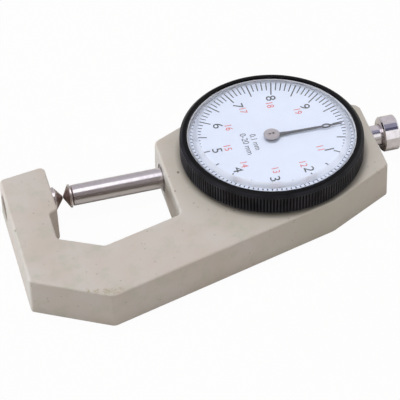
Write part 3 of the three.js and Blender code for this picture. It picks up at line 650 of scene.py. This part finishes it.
def turned_metal(name, colour, coat, roughness, marks_scale, marks_depth, stain):
    """Metal turned on the spindle's axis, with smudges up to the stain's share and a painted dark
    reflection of its own laid over them.
    """
    material, node = shader(name)
    place = millimetres(node)
    marks = lathe_marks(node, place, marks_scale)
    smudge = noise(node, place, 0.8)
    tint = blend(node, spread(node, smudge, 0.35, 0.75, 0, stain), colour, darker(colour, 0.7))
    # The coat is a painted dark reflection laid over the metal's colour.
    tint = coat(node, place, tint)
    gloss = spread(node, smudge, 0.3, 0.7, roughness, roughness + 0.08)
    finished_metal(node, tint, gloss, bumped(node, marks, marks_depth, 0.6))
    return material


def contact_metal():
    """Dark turned steel with a bright, worn rim."""
    material, node = shader("turned_contact")
    place = millimetres(node)
    marks = lathe_marks(node, place, 6)
    rim = spread(node, spindle_distance(node, place), CONTACT_RADIUS - 0.3, CONTACT_RADIUS - 0.1)
    stain = spread(node, noise(node, place, 0.8), 0.35, 0.75, 0, 0.6)
    tint = blend(node, stain, linear(184, 168, 164), linear(118, 102, 98))
    tint = blend(node, rim, tint, linear(232, 226, 226))
    gloss = spread(node, rim, 0, 1, 0.36, 0.18)
    finished_metal(node, tint, gloss, bumped(node, marks, 0.05, 0.6))
    return material


def plain_metal(name, colour, roughness):
    """Metal with a fine all-over grain."""
    material, node = shader(name)
    place = millimetres(node)
    fine = noise(node, place, 6, 3, 0.6)
    stain = spread(node, noise(node, place, 0.7), 0.35, 0.7, 0, 0.6)
    tint = blend(node, stain, colour, darker(colour, 0.75))
    gloss = spread(node, fine, 0.3, 0.7, roughness, roughness + 0.1)
    finished_metal(node, tint, gloss, bumped(node, fine, 0.01, 0.5))
    return material


def black_anodised():
    """A black coat with some dust, and painted highlights along the crests of the knurl and the rounded
    edge above it.
    """
    material, node = shader("black_anodised")
    place = millimetres(node)
    height = height_of(node, place)
    reach = axis_distance(node, place)
    dust = spread(node, noise(node, place, 2.6, 4, 0.7), 0.58, 0.78, 0, 0.35)
    tint = blend(node, dust, linear(12, 12, 15), linear(44, 43, 47))
    # Painted highlight: the crests of the knurl and the rounded edge above them are made paler where the
    # light catches them.
    crest = spread(node, reach, BEZEL_RADIUS - 0.12, BEZEL_RADIUS - 0.02)
    above_knurl = spread(node, height, KNURL_TOP, KNURL_TOP + 0.25)
    below_lip = spread(node, height, bezel_high.z - 0.3, bezel_high.z - 0.12, 0.35, 0)
    outer = spread(node, reach, BEZEL_RADIUS - 1, BEZEL_RADIUS - 0.8)
    edge = product(node, above_knurl, below_lip, outer)
    patchy = spread(node, noise(node, place, 0.25), 0.35, 0.6, 0.25, 1)
    painted_highlight = product(node, most(node, crest, edge), patchy)
    tint = blend(node, painted_highlight, tint, linear(58, 57, 64))
    gloss = spread(node, noise(node, place, 1.4), 0.3, 0.7, 0.28, 0.4)
    normal = bumped(node, noise(node, place, 7, 2), 0.01, 0.4)
    finished(node, {"Base Color": tint, "Roughness": gloss, "Normal": normal, "Specular IOR Level": 0.14})
    return material


def enamel(name, colour, roughness):
    """A printed or lacquered coat with slight changes of tone."""
    material, node = shader(name)
    place = millimetres(node)
    tone = spread(node, noise(node, place, 0.3, 2), 0.35, 0.65, 0, 0.3)
    tint = blend(node, tone, colour, darker(colour, 0.93))
    gloss = spread(node, noise(node, place, 3, 2), 0.3, 0.7, roughness, roughness + 0.08)
    normal = bumped(node, noise(node, place, 5, 2), 0.02, 0.3)
    finished(node, {"Base Color": tint, "Roughness": gloss, "Normal": normal})
    return material


def crystal_frost(node, place):
    """1 on the crystal's bevel and on its outer wall below the bezel's lip, both of which are ground."""
    reach = axis_distance(node, place)
    height = height_of(node, place)
    outside = spread(node, reach, WINDOW_RADIUS - 0.05, WINDOW_RADIUS + 0.05)
    inside = spread(node, reach, BEVEL_RADIUS - 0.05, BEVEL_RADIUS + 0.05, 1, 0)
    raised = spread(node, height, CRYSTAL_RIM, CRYSTAL_RIM + 0.1)
    bevel = product(node, outside, inside, raised)
    on_wall = spread(node, reach, CRYSTAL_SKIRT - 0.04, CRYSTAL_SKIRT - 0.02)
    below_lip = spread(node, height, bezel_high.z - 0.2, bezel_high.z - 0.15, 1, 0)
    return most(node, bevel, product(node, on_wall, below_lip))


def clear_acrylic():
    """Acrylic with a ground bevel and walls, which bends light and lets the lamps through to the dial."""
    material, node = shader("clear_acrylic")
    place = millimetres(node)
    haze = spread(node, noise(node, place, 0.5), 0.3, 0.75, 0.0, 0.03)
    frost = product(node, crystal_frost(node, place), FROST_ROUGHNESS)
    glass = node("BsdfPrincipled", {
        "Base Color": (0.985, 0.99, 1.0, 1),
        "Roughness": most(node, haze, frost),
        "IOR": ACRYLIC_IOR,
        "Transmission Weight": 1.0,
    })
    through = node("BsdfTransparent", {"Color": (0.995, 0.997, 1.0, 1)})
    shadow = node("LightPath").outputs["Is Shadow Ray"]
    shown(node, node("MixShader", {0: shadow, 1: glass.outputs[0], 2: through.outputs[0]}))
    return material


BLACK_PRINT = enamel("black_print", linear(22, 26, 42), 0.5)
RED_PRINT = enamel("red_print", linear(220, 92, 90), 0.5)

SLOT_MATERIALS = {
    "frame_paint": frame_paint(),
    "contact_steel": contact_metal(),
    "spindle_steel": turned_metal(
        "ground_spindle", linear(236, 232, 236), oil_film,
        roughness=0.17, marks_scale=5, marks_depth=0.004, stain=0.25,
    ),
    "knob_chrome": turned_metal(
        "knob_chrome", linear(238, 233, 237), dull_back,
        roughness=0.08, marks_scale=4, marks_depth=0.006, stain=0.5,
    ),
    "bright_steel": plain_metal("bright_steel", linear(196, 195, 197), 0.25),
    "movement_brass": plain_metal("movement_brass", linear(190, 158, 92), 0.3),
    "bezel_black": black_anodised(),
    "dial_white": enamel("dial_enamel", linear(226, 234, 252), 0.45),
    "crystal_clear": clear_acrylic(),
    "gasket_tan": enamel("pale_seal", linear(228, 228, 234), 0.6),
    "pointer_dark": enamel("pointer_lacquer", linear(60, 62, 72), 0.35),
    "cap_metal": plain_metal("pointer_cap_metal", linear(186, 178, 182), 0.28),
}


# Frame casting

def casting_outline():
    left = casting_low.x
    right = casting_high.x
    arm_inner = left + ARM_WIDTH
    head_inner = left + HEAD_WIDTH
    return rounded([
        (left, -ARM_FOOT, 1), (-ELBOW_REACH, -ELBOW_DROP, 2),
        (BEND_REACH, -BEND_DROP, 3), (right, -RIGHT_CORNER_DROP, 1),
        (right, RIGHT_SHOULDER, 2.4), (0, BACK_RISE, 16),
        (-BODY_LEFT, LEFT_SHOULDER, 2.4), (-BODY_LEFT, -THROAT_FOOT, 1.2),
        (-THROAT_ELBOW_REACH, -THROAT_DEPTH, 1.2), (arm_inner, -THROAT_FOOT, 1.2),
        (arm_inner, -HEAD_FOOT - HEAD_STEP, 0.9), (head_inner, -HEAD_FOOT, 0.9),
        (head_inner, HEAD_RISE, 1.4), (left, ARM_TIP_RISE, 1.4),
    ])


def round_over(height, draft, radius, steps=6):
    """Levels that round a block's top edge."""
    angles = [math.pi / 2 * i / steps for i in range(steps + 1)]
    drops = [(radius * (1 - math.sin(angle)), radius * (1 - math.cos(angle))) for angle in angles]
    return [(height - drop, draft + distance) for drop, distance in drops]


def screw_places(screw):
    """Places of three screws round the dial's axis, of which the given one is the first, on +Y."""
    low, high = sized(screw)
    return around(3, (low.y + high.y) / 2, math.pi / 2)


def anvil_bore():
    """A cutter for the anvil's bore, which is wider at the arm's outer side."""
    left = casting_low.x
    shank = ANVIL_SHANK_RADIUS + GAP
    mouth_end = left + ANVIL_MOUTH_DEPTH
    end = left + HEAD_WIDTH + OVERRUN
    return on_spindle(turned([
        (0, left - OVERRUN), (ANVIL_MOUTH_RADIUS + 0.25, left - OVERRUN),
        (ANVIL_MOUTH_RADIUS + 0.25, left), (ANVIL_MOUTH_RADIUS, left + 0.3),
        (ANVIL_MOUTH_RADIUS, mouth_end), (shank, mouth_end), (shank, end), (0, end),
    ], BORE))


def casting_holes(plate_bottom):
    """Cutters for the holes of the cover's screws, the movement plate's screws and the spring's post."""
    holes = []
    shank = SCREW_SHANK + GAP
    for x, y in screw_places("back_cover_screw_1"):
        holes.append(rod_at(x, y, shank, HOLE_START, COVER_HOLE_END, HOLE))
    for x, y in screw_places("movement_plate_screw_1"):
        holes.append(rod_at(x, y, shank, plate_bottom - PLATE_HOLE_DEPTH, plate_bottom + OVERRUN / 2, HOLE))
    post_low, post_high = sized("spring_post")
    post_x = (post_low.x + post_high.x) / 2
    post_y = (post_low.y + post_high.y) / 2
    holes.append(rod_at(post_x, post_y, POST_RADIUS + GAP, HOLE_START, plate_bottom, HOLE))
    return holes


def make_casting():
    """The casting, from its outline to its pocket, collar, bores, pillars and screw holes."""
    back_edge = round_over(BACK_ROUND, 0, BACK_ROUND, 3)
    foot = [(BACK_ROUND - height, distance) for height, distance in reversed(back_edge)]
    block = lofted(casting_outline(), foot + round_over(FRAME_DEPTH, DRAFT, FRONT_ROUND))
    cover = sized("back_cover")[1]
    plate_bottom = sized("movement_plate")[0].z
    bush_low, bush_high = sized("front_spindle_bush")
    snap_low, snap_high = sized("bezel_snap_ring")
    pocket = -bush_high.x
    collar_radius = pocket + POCKET_WALL
    collar = ring(pocket - OVERRUN, collar_radius, FRAME_DEPTH - OVERRUN, casting_high.z)
    pocket_cut = rod(pocket, POCKET_FLOOR, casting_high.z + OVERRUN, ROUND)
    body = worked(block, add=[collar], cut=[pocket_cut])
    pillars = []
    for x, y in screw_places("movement_plate_screw_1"):
        pillars.append(rod_at(x, y, PILLAR_RADIUS, cover.z + 0.5, plate_bottom - 0.05))
    seat = rod(cover.x + GAP, -OVERRUN, cover.z + GAP / 2, ROUND)
    opening = rod(cover.x - COVER_LEDGE, -OVERRUN, POCKET_FLOOR + GAP)
    groove = ring(collar_radius - SNAP_GROOVE, collar_radius + OVERRUN, snap_low.z - GAP, snap_high.z + GAP)
    bush_radius = (bush_high.z - bush_low.z) / 2
    bore = on_spindle(rod(bush_radius + BUSH_GAP, -BODY_LEFT - OVERRUN, casting_high.x + OVERRUN))
    holes = casting_holes(plate_bottom)
    body = worked(body, add=pillars, cut=[seat, opening, groove, bore, anvil_bore(), *holes])
    piece("cast_frame", body, "frame", "frame_paint", "frame_casting", crease=25)


def make_cover():
    low, high = sized("back_cover")
    places = screw_places("back_cover_screw_1")
    plate = soft_ring(0, high.x, low.z, high.z, (0, 0.15, 0.1, 0))
    holes = [rod_at(x, y, SCREW_SHANK + GAP, low.z - OVERRUN, high.z + OVERRUN) for x, y in places]
    sinks = [rod_at(x, y, SCREW_HEAD + GAP, low.z - OVERRUN, low.z + 0.65) for x, y in places]
    seat = low.z + SCREW_SEAT
    piece("rear_cover", worked(plate, cut=holes + sinks), "frame", "frame_paint", "back_cover")
    for i, (x, y) in enumerate(places):
        node = f"back_cover_screw_{i + 1}"
        screw = slotted_screw(0.4 + i)
        flip = Matrix.Translation((x, y, seat)) @ Matrix.Rotation(math.pi, 4, "X")
        screw.transform(flip)
        piece(f"cover_screw_{i + 1}", screw, "frame", "bright_steel", node)


def slotted_screw(turn):
    """A cheese-head screw with its head upwards and its slot turned by an angle."""
    half_slot = 0.17
    slot_floor = 0.3
    beyond = 2
    body = turned(rounded([
        (0, -SCREW_LENGTH, 0), (SCREW_SHANK, -SCREW_LENGTH, 0.15), (SCREW_SHANK, 0, 0),
        (SCREW_HEAD, 0, 0), (SCREW_HEAD, SCREW_HEAD_HEIGHT, 0.15), (0, SCREW_HEAD_HEIGHT, 0),
    ], math.radians(20)), SMALL)
    slot = box(-beyond, beyond, -half_slot, half_slot, slot_floor, beyond)
    screw = worked(body, cut=[slot])
    screw.transform(Matrix.Rotation(turn, 4, "Z"))
    return screw


# Contacts, spindle and knob

def contact_nose(point, cone, steps=10):
    """Profile points of a contact's rounded tip, from the cone's flank to the point on the axis."""
    slope = math.atan2(cone, CONTACT_RADIUS)
    angles = [slope * (1 - i / steps) for i in range(steps + 1)]
    return [(NOSE_RADIUS * math.sin(a), point - NOSE_RADIUS * (1 - math.cos(a))) for a in angles]


def make_contacts():
    radius = CONTACT_RADIUS
    edge = radius - 0.06
    face = casting_low.x + HEAD_WIDTH + 0.05
    anvil_rim = anvil_high.x - ANVIL_CONE
    anvil = turned([
        (0, anvil_low.x), (ANVIL_SHANK_RADIUS - 0.2, anvil_low.x),
        (ANVIL_SHANK_RADIUS, anvil_low.x + 0.2), (ANVIL_SHANK_RADIUS, face),
        (radius - 0.05, face), (radius, face + 0.05), (radius, anvil_rim - 0.08), (edge, anvil_rim),
        *contact_nose(anvil_high.x, ANVIL_CONE),
    ], BORE)
    piece("fixed_contact", on_spindle(anvil), "frame", "contact_steel", "anvil")
    rim = tip_low.x + TIP_CONE
    neck_end = rod_low.x - 0.05
    nose = [(reach, 2 * tip_low.x - x) for reach, x in contact_nose(tip_low.x, TIP_CONE)]
    tip = turned([
        *reversed(nose),
        (edge, rim), (radius, rim + 0.08), (radius, rim + 0.34), (edge, rim + 0.4),
        (TIP_NECK, rim + 0.4), (TIP_NECK, neck_end), (TIP_STUD, neck_end),
        (TIP_STUD, tip_high.x), (0, tip_high.x),
    ], BORE)
    piece("moving_contact", on_spindle(tip), "spindle", "contact_steel", "contact_tip")


def rack_cutter():
    """The flat and the tooth spaces milled into the rod's hidden side."""
    pitch_radius = TURN_TRAVEL / (2 * math.pi)
    module = 2 * pitch_radius / PINION_TEETH
    pitch = math.pi * module
    tip_line = pitch_radius - module
    root_line = pitch_radius + ROOT_DEPTH * module
    reach = pitch_radius + module + 0.3
    start, end = -TRAVEL - reach, reach
    half_tip = pitch / 4 + RACK_PLAY + module * math.tan(PRESSURE_ANGLE)
    half_root = pitch / 4 + RACK_PLAY - ROOT_DEPTH * module * math.tan(PRESSURE_ANGLE)
    outline = [(start, -SPINDLE_RADIUS), (end, -SPINDLE_RADIUS), (end, tip_line)]
    first = math.floor((end - half_tip) / pitch)
    last = math.ceil((start + half_tip) / pitch)
    for tooth in range(first, last - 1, -1):
        middle = tooth * pitch
        outline += [
            (middle + half_tip, tip_line),
            (middle + half_root, root_line),
            (middle - half_root, root_line),
            (middle - half_tip, tip_line),
        ]
    outline.append((start, tip_line))
    return slab(outline, SPINDLE_Z - SPINDLE_RADIUS - OVERRUN, SPINDLE_Z + SPINDLE_RADIUS + OVERRUN)


def make_spindle():
    pin_low, pin_high = sized("guide_pin")
    shoulder = rod_high.x - KNOB_STUD_LENGTH
    bar = on_spindle(turned([
        (0, rod_low.x), (SPINDLE_RADIUS - 0.12, rod_low.x),
        (SPINDLE_RADIUS, rod_low.x + 0.12), (SPINDLE_RADIUS, shoulder - 0.1),
        (SPINDLE_RADIUS - 0.1, shoulder), (KNOB_STUD, shoulder),
        (KNOB_STUD, rod_high.x), (0, rod_high.x),
    ], BORE))
    tip_hole = on_spindle(rod(TIP_STUD + GAP, rod_low.x - OVERRUN, tip_high.x + GAP, SMALL))
    pin_hole = rod(PIN_RADIUS + GAP, 0, SPINDLE_RADIUS + OVERRUN, SMALL)
    pin_place = Matrix.Translation(((pin_low.x + pin_high.x) / 2, SPINDLE_Y, SPINDLE_Z))
    pin_hole.transform(pin_place @ Matrix.Rotation(-math.pi / 2, 4, "X"))
    bar = worked(bar, cut=[tip_hole, pin_hole, rack_cutter()])
    piece("round_bar", bar, "spindle", "spindle_steel", "spindle_rod")


def make_bushes():
    bore = SPINDLE_RADIUS + BUSH_PLAY
    for name, node in (("bush_left", "front_spindle_bush"), ("bush_right", "rear_spindle_bush")):
        low, high = sized(node)
        radius = (high.z - low.z) / 2
        bush = soft_ring(bore, radius, low.x, high.x, (0.1, 0.1, 0.1, 0.1), BORE)
        piece(name, on_spindle(bush), "frame", "bright_steel", node)


def make_knob():
    radius = (knob_high.z - knob_low.z) / 2
    start, end = knob_low.x, knob_high.x
    bore = SPINDLE_RADIUS + GAP
    bore_end = start + 0.5
    stud = KNOB_STUD + GAP
    stud_end = rod_high.x + GAP
    profile = rounded([
        (stud, bore_end, 0), (bore, bore_end, 0), (bore, start, 0.08),
        (3.85, start, 0.1), (radius, start + 0.35, 0.1), (radius, end, 0.35),
        (0, end, 0), (0, stud_end, 0), (stud, stud_end, 0),
    ])
    knob = on_spindle(turned(profile, BORE * 2))
    piece("chrome_knob", knob, "spindle", "knob_chrome", "pull_knob")


# Bezel, dial and crystal

def bezel_profile():
    """The ring's profile: knurl and lip outside, the dial's ledge and the snap ring's groove inside."""
    foot, top = bezel_low.z, bezel_high.z
    inner = BEZEL_RADIUS - BEZEL_LIP
    skirt = BEZEL_RADIUS - BEZEL_SKIRT
    ledge = dial_low.z - 0.05
    ledge_inner = inner - LEDGE_WIDTH
    ledge_bottom = ledge - LEDGE_THICKNESS
    snap_low, snap_high = sized("bezel_snap_ring")
    return rounded([
        (skirt, foot, 0.1), (FLUTE_WALL - 0.15, foot, 0.15),
        (BEZEL_RADIUS, KNURL_BOTTOM, 0.05), (BEZEL_RADIUS, KNURL_TOP, 0.2),
        (BEZEL_RADIUS - 0.85, top, 0.75), (inner, top, 0.12), (inner, ledge, 0),
        (ledge_inner, ledge, 0), (ledge_inner, ledge_bottom, 0),
        (skirt, ledge_bottom, 0), (skirt, snap_high.z + GAP, 0),
        (skirt + SNAP_GROOVE, snap_high.z + GAP, 0),
        (skirt + SNAP_GROOVE, snap_low.z - GAP, 0), (skirt, snap_low.z - GAP, 0),
    ], math.radians(12))


def with_knurl_rows(profile):
    """The bezel's profile with rows added on the knurl, where its flutes fade out."""
    rows = []
    for here, after in zip(profile, profile[1:]):
        rows.append(here)
        if here.x > FLUTE_WALL and after.y - here.y > 2:
            rows += [here.lerp(after, share) for share in (0.02, 0.06, 0.5, 0.94, 0.98)]
    return rows + [profile[-1]]


def fluted(share, reach, height):
    """The bezel's radius at a share of the way round, with its flutes."""
    if reach < FLUTE_WALL or not KNURL_BOTTOM <= height <= KNURL_TOP:
        return reach
    ease = min(1, (height - KNURL_BOTTOM) / FLUTE_FADE, (KNURL_TOP - height) / FLUTE_FADE)
    steps = len(FLUTE_SHAPE)
    depth = FLUTE_SHAPE[round(share * FLUTES * steps) % steps]
    return reach - FLUTE_DEPTH * depth * max(0, ease)


def make_bezel():
    bezel = turned(with_knurl_rows(bezel_profile()), FLUTES * len(FLUTE_SHAPE), fluted)
    piece("knurled_bezel", bezel, "bezel", "bezel_black", "bezel_ring", crease=50)


def dome(radius, rise, base, steps=24):
    """Profile points from the edge of a shallow dome to its middle."""
    shares = [1 - i / steps for i in range(steps + 1)]
    return [Vector((radius * share, base + rise * (1 - share * share))) for share in shares]


def make_crystal():
    """A moulded cover: a domed window with a bevel round it, a flat rim and a skirt."""
    outer = crystal_high.x
    bottom = crystal_low.z + CRYSTAL_FOOT_GAP
    window = crystal_high.z - DOME_RISE
    ceiling = window - CRYSTAL_THICKNESS
    above = dome(WINDOW_RADIUS - DOME_INSET, DOME_RISE, window)
    below = [point - Vector((0, CRYSTAL_THICKNESS)) for point in reversed(above)]
    edge = rounded([
        (CRYSTAL_SKIRT - OVERRUN, ceiling, 0), (CRYSTAL_SKIRT, ceiling, 0),
        (CRYSTAL_SKIRT, bottom, 0), (outer, bottom, 0), (outer, CRYSTAL_RIM, 0.1),
        (BEVEL_RADIUS, CRYSTAL_RIM, 0.08), (WINDOW_RADIUS, window, 0.15),
        (WINDOW_RADIUS - OVERRUN, window, 0),
    ], math.radians(8))
    profile = below + edge[1:-1] + above[:-1] + [Vector((0, crystal_high.z))]
    piece("clear_crystal", turned(profile), "bezel", "crystal_clear", "crystal", crease=20)


def make_seal():
    low, high = sized("crystal_gasket")
    top = min(high.z, CRYSTAL_RIM - 0.05)
    middle = (crystal_high.x + BEZEL_RADIUS - BEZEL_LIP) / 2
    half = SEAL_WIDTH / 2
    seal = soft_ring(middle - half, middle + half, low.z, top, (0, 0, 0.08, 0.08))
    piece("seal_ring", seal, "bezel", "gasket_tan", "crystal_gasket")


def tick(index):
    """A mark of the scale: long at a number, a little shorter halfway, and short otherwise."""
    halfway = index % 5 == 0
    if index % 10 == 0:
        start = LONG_TICK_START
    else:
        start = MEDIUM_TICK_START if halfway else SHORT_TICK_START
    half_width = (LONG_TICK_WIDTH if halfway else TICK_WIDTH) / 2
    top = dial_high.z + PRINT_THICKNESS
    bar = box(start, TICK_END, -half_width, half_width, dial_high.z - PRINT_THICKNESS, top)
    bar.transform(Matrix.Rotation(DIAL_ZERO - 2 * math.pi * index / TICKS, 4, "Z"))
    return bar


def make_dial():
    plate = soft_ring(DIAL_HOLE_RADIUS, dial_high.x, dial_low.z, dial_high.z, (0.05, 0.1, 0.1, 0.05))
    piece("dial_disc", plate, "bezel", "dial_white", "dial_plate")
    ticks = [tick(index) for index in range(TICKS)]
    piece("scale_ticks", joined(ticks), "bezel", "dial_white", material=BLACK_PRINT)
    black, red = [], []
    for number, (black_place, red_place) in enumerate(NUMBER_PLACES, 1):
        black.append(printed(str(number), black_place, BLACK_NUMBER_HEIGHT, 1.1))
        red.append(printed(str(number + 10), red_place, RED_NUMBER_HEIGHT, 0.95))
    black.append(printed("0.1 mm", (-4.0, -0.5), NOTE_HEIGHT, 0.9))
    black.append(printed("0-20 mm", (-6.15, -0.6), NOTE_HEIGHT, 1))
    piece("scale_numbers", joined(black), "bezel", "dial_white", material=BLACK_PRINT)
    piece("second_turn_numbers", joined(red), "bezel", "dial_white", material=RED_PRINT)


def printed(text, middle, height, width_share):
    """Characters as a thin mesh on the dial, upright towards +X and read towards -Y."""
    curve = bpy.data.curves.new("text", "FONT")
    curve.body = text
    curve.size = height / FIGURE_TO_FONT_SIZE
    curve.align_x = "CENTER"
    curve.extrude = PRINT_THICKNESS
    curve.resolution_u = 4
    holder = placed("text", curve)
    mesh = evaluated(holder)
    bpy.data.objects.remove(holder)
    bpy.data.curves.remove(curve)
    centred = Matrix.Translation((0, -height / 2, 0))
    narrowed = Matrix.Diagonal((width_share, 1, 1, 1))
    quarter_turn = Matrix.Rotation(-math.pi / 2, 4, "Z")
    mesh.transform(Matrix.Translation((*middle, dial_high.z)) @ quarter_turn @ narrowed @ centred)
    return mesh


def make_needle():
    """The hand's tapering blade, with a collar at the arbor and an eye near its tip."""
    bottom, top = needle_low.z, needle_high.z
    length = needle_high.x - NEEDLE_SHORTENED
    eye = length - 3.85
    eye_half = 1.15
    blade = [
        (0, -0.55), (1.4, -0.55), (4.6, -0.31), (eye - 3, -0.27), (eye - eye_half, -0.2),
        (eye - 0.55, -0.58), (eye, -0.7), (eye + 0.55, -0.58), (eye + eye_half, -0.2), (length, -0.07),
    ]
    body = slab(blade + [(x, -y) for x, y in reversed(blade)], bottom, top)
    opening = [(eye + 0.72 * x, 0.42 * y) for x, y in around(HOLE, 1, 0)]
    collar = rod(HUB_RADIUS, bottom, top)
    eye_cut = slab(opening, bottom - OVERRUN, top + OVERRUN)
    arbor_cut = rod(ARBOR_RADIUS, bottom - OVERRUN, top + OVERRUN)
    needle = worked(body, add=[collar], cut=[eye_cut, arbor_cut])
    needle = worked(needle, bevel=0.04)
    needle.transform(Matrix.Rotation(NEEDLE_TURN, 4, "Z"))
    piece("hand_needle", needle, "pointer", "pointer_dark", "pointer_needle")


def make_hub():
    hub = soft_ring(ARBOR_RADIUS, HUB_RADIUS, hub_low.z, hub_high.z, (0, 0.05, 0.05, 0), BORE)
    piece("hand_hub", hub, "pointer", "pointer_dark", "pointer_hub")


def make_cap():
    """The hand's cap, hollow over the arbor's end and with two holes for a wrench."""
    brim = cap_high.z - CAP_THICKNESS
    ceiling = brim + 0.05
    cap = turned(rounded([
        (0, ceiling, 0), (ARBOR_RADIUS, ceiling, 0), (ARBOR_RADIUS, cap_low.z, 0),
        (HUB_RADIUS, cap_low.z, 0.05), (HUB_RADIUS, brim, 0),
        (CAP_RADIUS, brim, 0.08), (CAP_RADIUS, cap_high.z - 0.17, 0.05),
        (CAP_RADIUS - 0.17, cap_high.z, 0.05), (0, cap_high.z, 0),
    ]), BORE)
    holes = [rod_at(x, 0, 0.3, brim, cap_high.z + OVERRUN, HOLE) for x in (-0.42, 0.42)]
    piece("hand_cap", worked(cap, cut=holes), "pointer", "cap_metal", "pointer_cap")


def finish_hidden_nodes():
    """Gives every solid that is kept from the CAD its finish."""
    slots = {part["node"]: part["material_slot"] for part in frame["record"]["subparts"]}
    for name, node in frame["nodes"].items():
        node.data.materials.clear()
        node.data.materials.append(SLOT_MATERIALS[slots[name]])


# Studio

def lit_backdrop():
    """White for rays that see the background, with some of the object's shadow left on it."""
    material, node = shader("white_floor")
    diffuse = node("BsdfDiffuse", {"Color": (0.66, 0.63, 0.58, 1)})
    glow = node("Emission", {"Color": (1, 1, 1, 1), "Strength": 1.0})
    path = node("LightPath").outputs
    seen = most(node, path["Is Camera Ray"], path["Is Transmission Ray"])
    share = product(node, seen, FLOOR_SEEN_WHITE)
    shown(node, node("MixShader", {0: share, 1: diffuse.outputs[0], 2: glow.outputs[0]}))
    return material


def sheet(name, corners, material):
    """A flat sheet of the studio, from its corners in order."""
    mesh = mesh_of(name, corners, [tuple(range(len(corners)))])
    mesh.transform(Matrix.Scale(MM, 4))
    mesh.materials.append(material)
    made = placed(name, mesh)
    return made


def reflected_card(name, corners, tone, strength):
    """A card of an even tone that only shows as a reflection on shiny surfaces."""
    material, node = shader(name)
    deeper = linear(*[0.94 * channel for channel in tone])
    colour = blend(node, noise(node, millimetres(node), 0.01, 2), linear(*tone), deeper)
    shown(node, node("Emission", {"Color": colour, "Strength": strength}))
    card = sheet(name, corners, material)
    card.visible_camera = False
    card.visible_diffuse = False
    card.visible_transmission = False
    card.visible_shadow = False


def shading_board(name, corners):
    """A dark board that keeps some of the even light off and shows nowhere."""
    material, node = shader(name)
    tone = spread(node, noise(node, millimetres(node), 0.01, 2), 0, 1, 0.03, 0.06)
    finished(node, {"Base Color": tone, "Roughness": 0.9})
    board = sheet(name, corners, material)
    board.visible_camera = False
    board.visible_glossy = False
    board.visible_transmission = False


def upright(left, right, y, top, lean=0):
    """Corners of a sheet that stands across the view; its right edge may lean."""
    return [(left, y, 0), (right, y, 0), (right + lean, y, top), (left, y, top)]


def overhead(*places):
    """Corners of a level sheet above the object, from their places in order."""
    return [(x, y, OVERHEAD_HEIGHT) for x, y in places]


# Cards that show as reflections: name, corners, colour on a screen and strength
CARDS = (
    ("front_card", upright(-140, 8, -130, 280, 47), (138, 130, 128), 1),
    ("back_card", upright(-1500, 1500, 900, 3600), (190, 186, 190), 1),
    ("navy_strip", overhead((36, -75), (36, -190), (250, -190), (250, -75)), (84, 84, 106), 1),
    ("slate_strip", overhead((36, 75), (36, -75), (250, -75), (250, 75)), (150, 150, 172), 1),
    ("bright_strip", overhead((-140, -112), (24, -112), (24, 60), (-140, 60)), (255, 250, 255), 1.65),
    ("right_card", upright(45, 300, 200, 800), (214, 210, 214), 1),
)


def make_studio():
    reach = FLOOR_REACH
    corners = [(-reach, -reach), (reach, -reach), (reach, reach), (-reach, reach)]
    sheet("studio_floor", [(x, y, FLOOR_HEIGHT) for x, y in corners], lit_backdrop())
    for card in CARDS:
        reflected_card(*card)
    shading_board("back_board", upright(-1500, 1500, 920, 1700))
    make_world()
    make_lamp("key_lamp", (-60, 110, 700), size=300, power=2.3, colour=(1, 1, 1))
    make_lamp("left_lamp", (-611, 242, 42), size=80, power=2.7, colour=(0.82, 0.91, 1))


def make_world():
    """An even light from all round, white where it is seen or reflected."""
    world = bpy.data.worlds.new("studio_world")
    world.use_nodes = True
    node = node_maker(world.node_tree)
    light = node("Background", {"Color": (1, 1, 1, 1), "Strength": WORLD_LIGHT})
    white = node("Background", {"Color": (1, 1, 1, 1), "Strength": 1.0})
    path = node("LightPath").outputs
    rays = [path[name] for name in ("Is Camera Ray", "Is Glossy Ray", "Is Transmission Ray")]
    seen = most(node, *rays)
    mixed = node("MixShader", {0: seen, 1: light.outputs[0], 2: white.outputs[0]})
    node("OutputWorld", {"Surface": mixed.outputs[0]})
    bpy.context.scene.world = world


def make_lamp(name, place, size, power, colour):
    """A square lamp that faces what the camera looks at and shows in no reflection."""
    lamp = bpy.data.lights.new(name, "AREA")
    lamp.color = colour
    lamp.shape = "SQUARE"
    lamp.size = size * MM
    lamp.energy = power
    holder = placed(name, lamp)
    holder.visible_glossy = False
    holder.visible_transmission = False
    position = Vector(place) * MM
    aim = (Vector(CAMERA_TARGET) * MM - position).normalized()
    turn = aim.to_track_quat("-Z", "Y").to_matrix().to_4x4()
    holder.matrix_world = Matrix.Translation(position) @ turn


def make_camera():
    azimuth, elevation, roll = CAMERA_AZIMUTH, CAMERA_ELEVATION, CAMERA_ROLL
    back = Vector((
        math.sin(azimuth) * math.cos(elevation),
        -math.cos(azimuth) * math.cos(elevation),
        math.sin(elevation),
    ))
    right = Vector((math.cos(azimuth), math.sin(azimuth), 0))
    up = back.cross(right)
    rolled_right = right * math.cos(roll) + up * math.sin(roll)
    rolled_up = up * math.cos(roll) - right * math.sin(roll)
    turn = Matrix((rolled_right, rolled_up, back)).transposed().to_4x4()
    camera = bpy.data.cameras.new("camera")
    camera.sensor_width = CAMERA_SENSOR
    camera.lens = CAMERA_LENS
    camera.clip_start = 0.01
    camera.clip_end = 50
    holder = placed("camera", camera)
    position = (Vector(CAMERA_TARGET) + back * CAMERA_DISTANCE) * MM
    holder.matrix_world = Matrix.Translation(position) @ turn
    bpy.context.scene.camera = holder


make_camera()
make_casting()
make_cover()
make_contacts()
make_spindle()
make_bushes()
make_knob()
make_bezel()
make_crystal()
make_seal()
make_dial()
make_needle()
make_hub()
make_cap()
finish_hidden_nodes()
make_studio()
bpy.context.scene.view_settings.view_transform = "Standard"
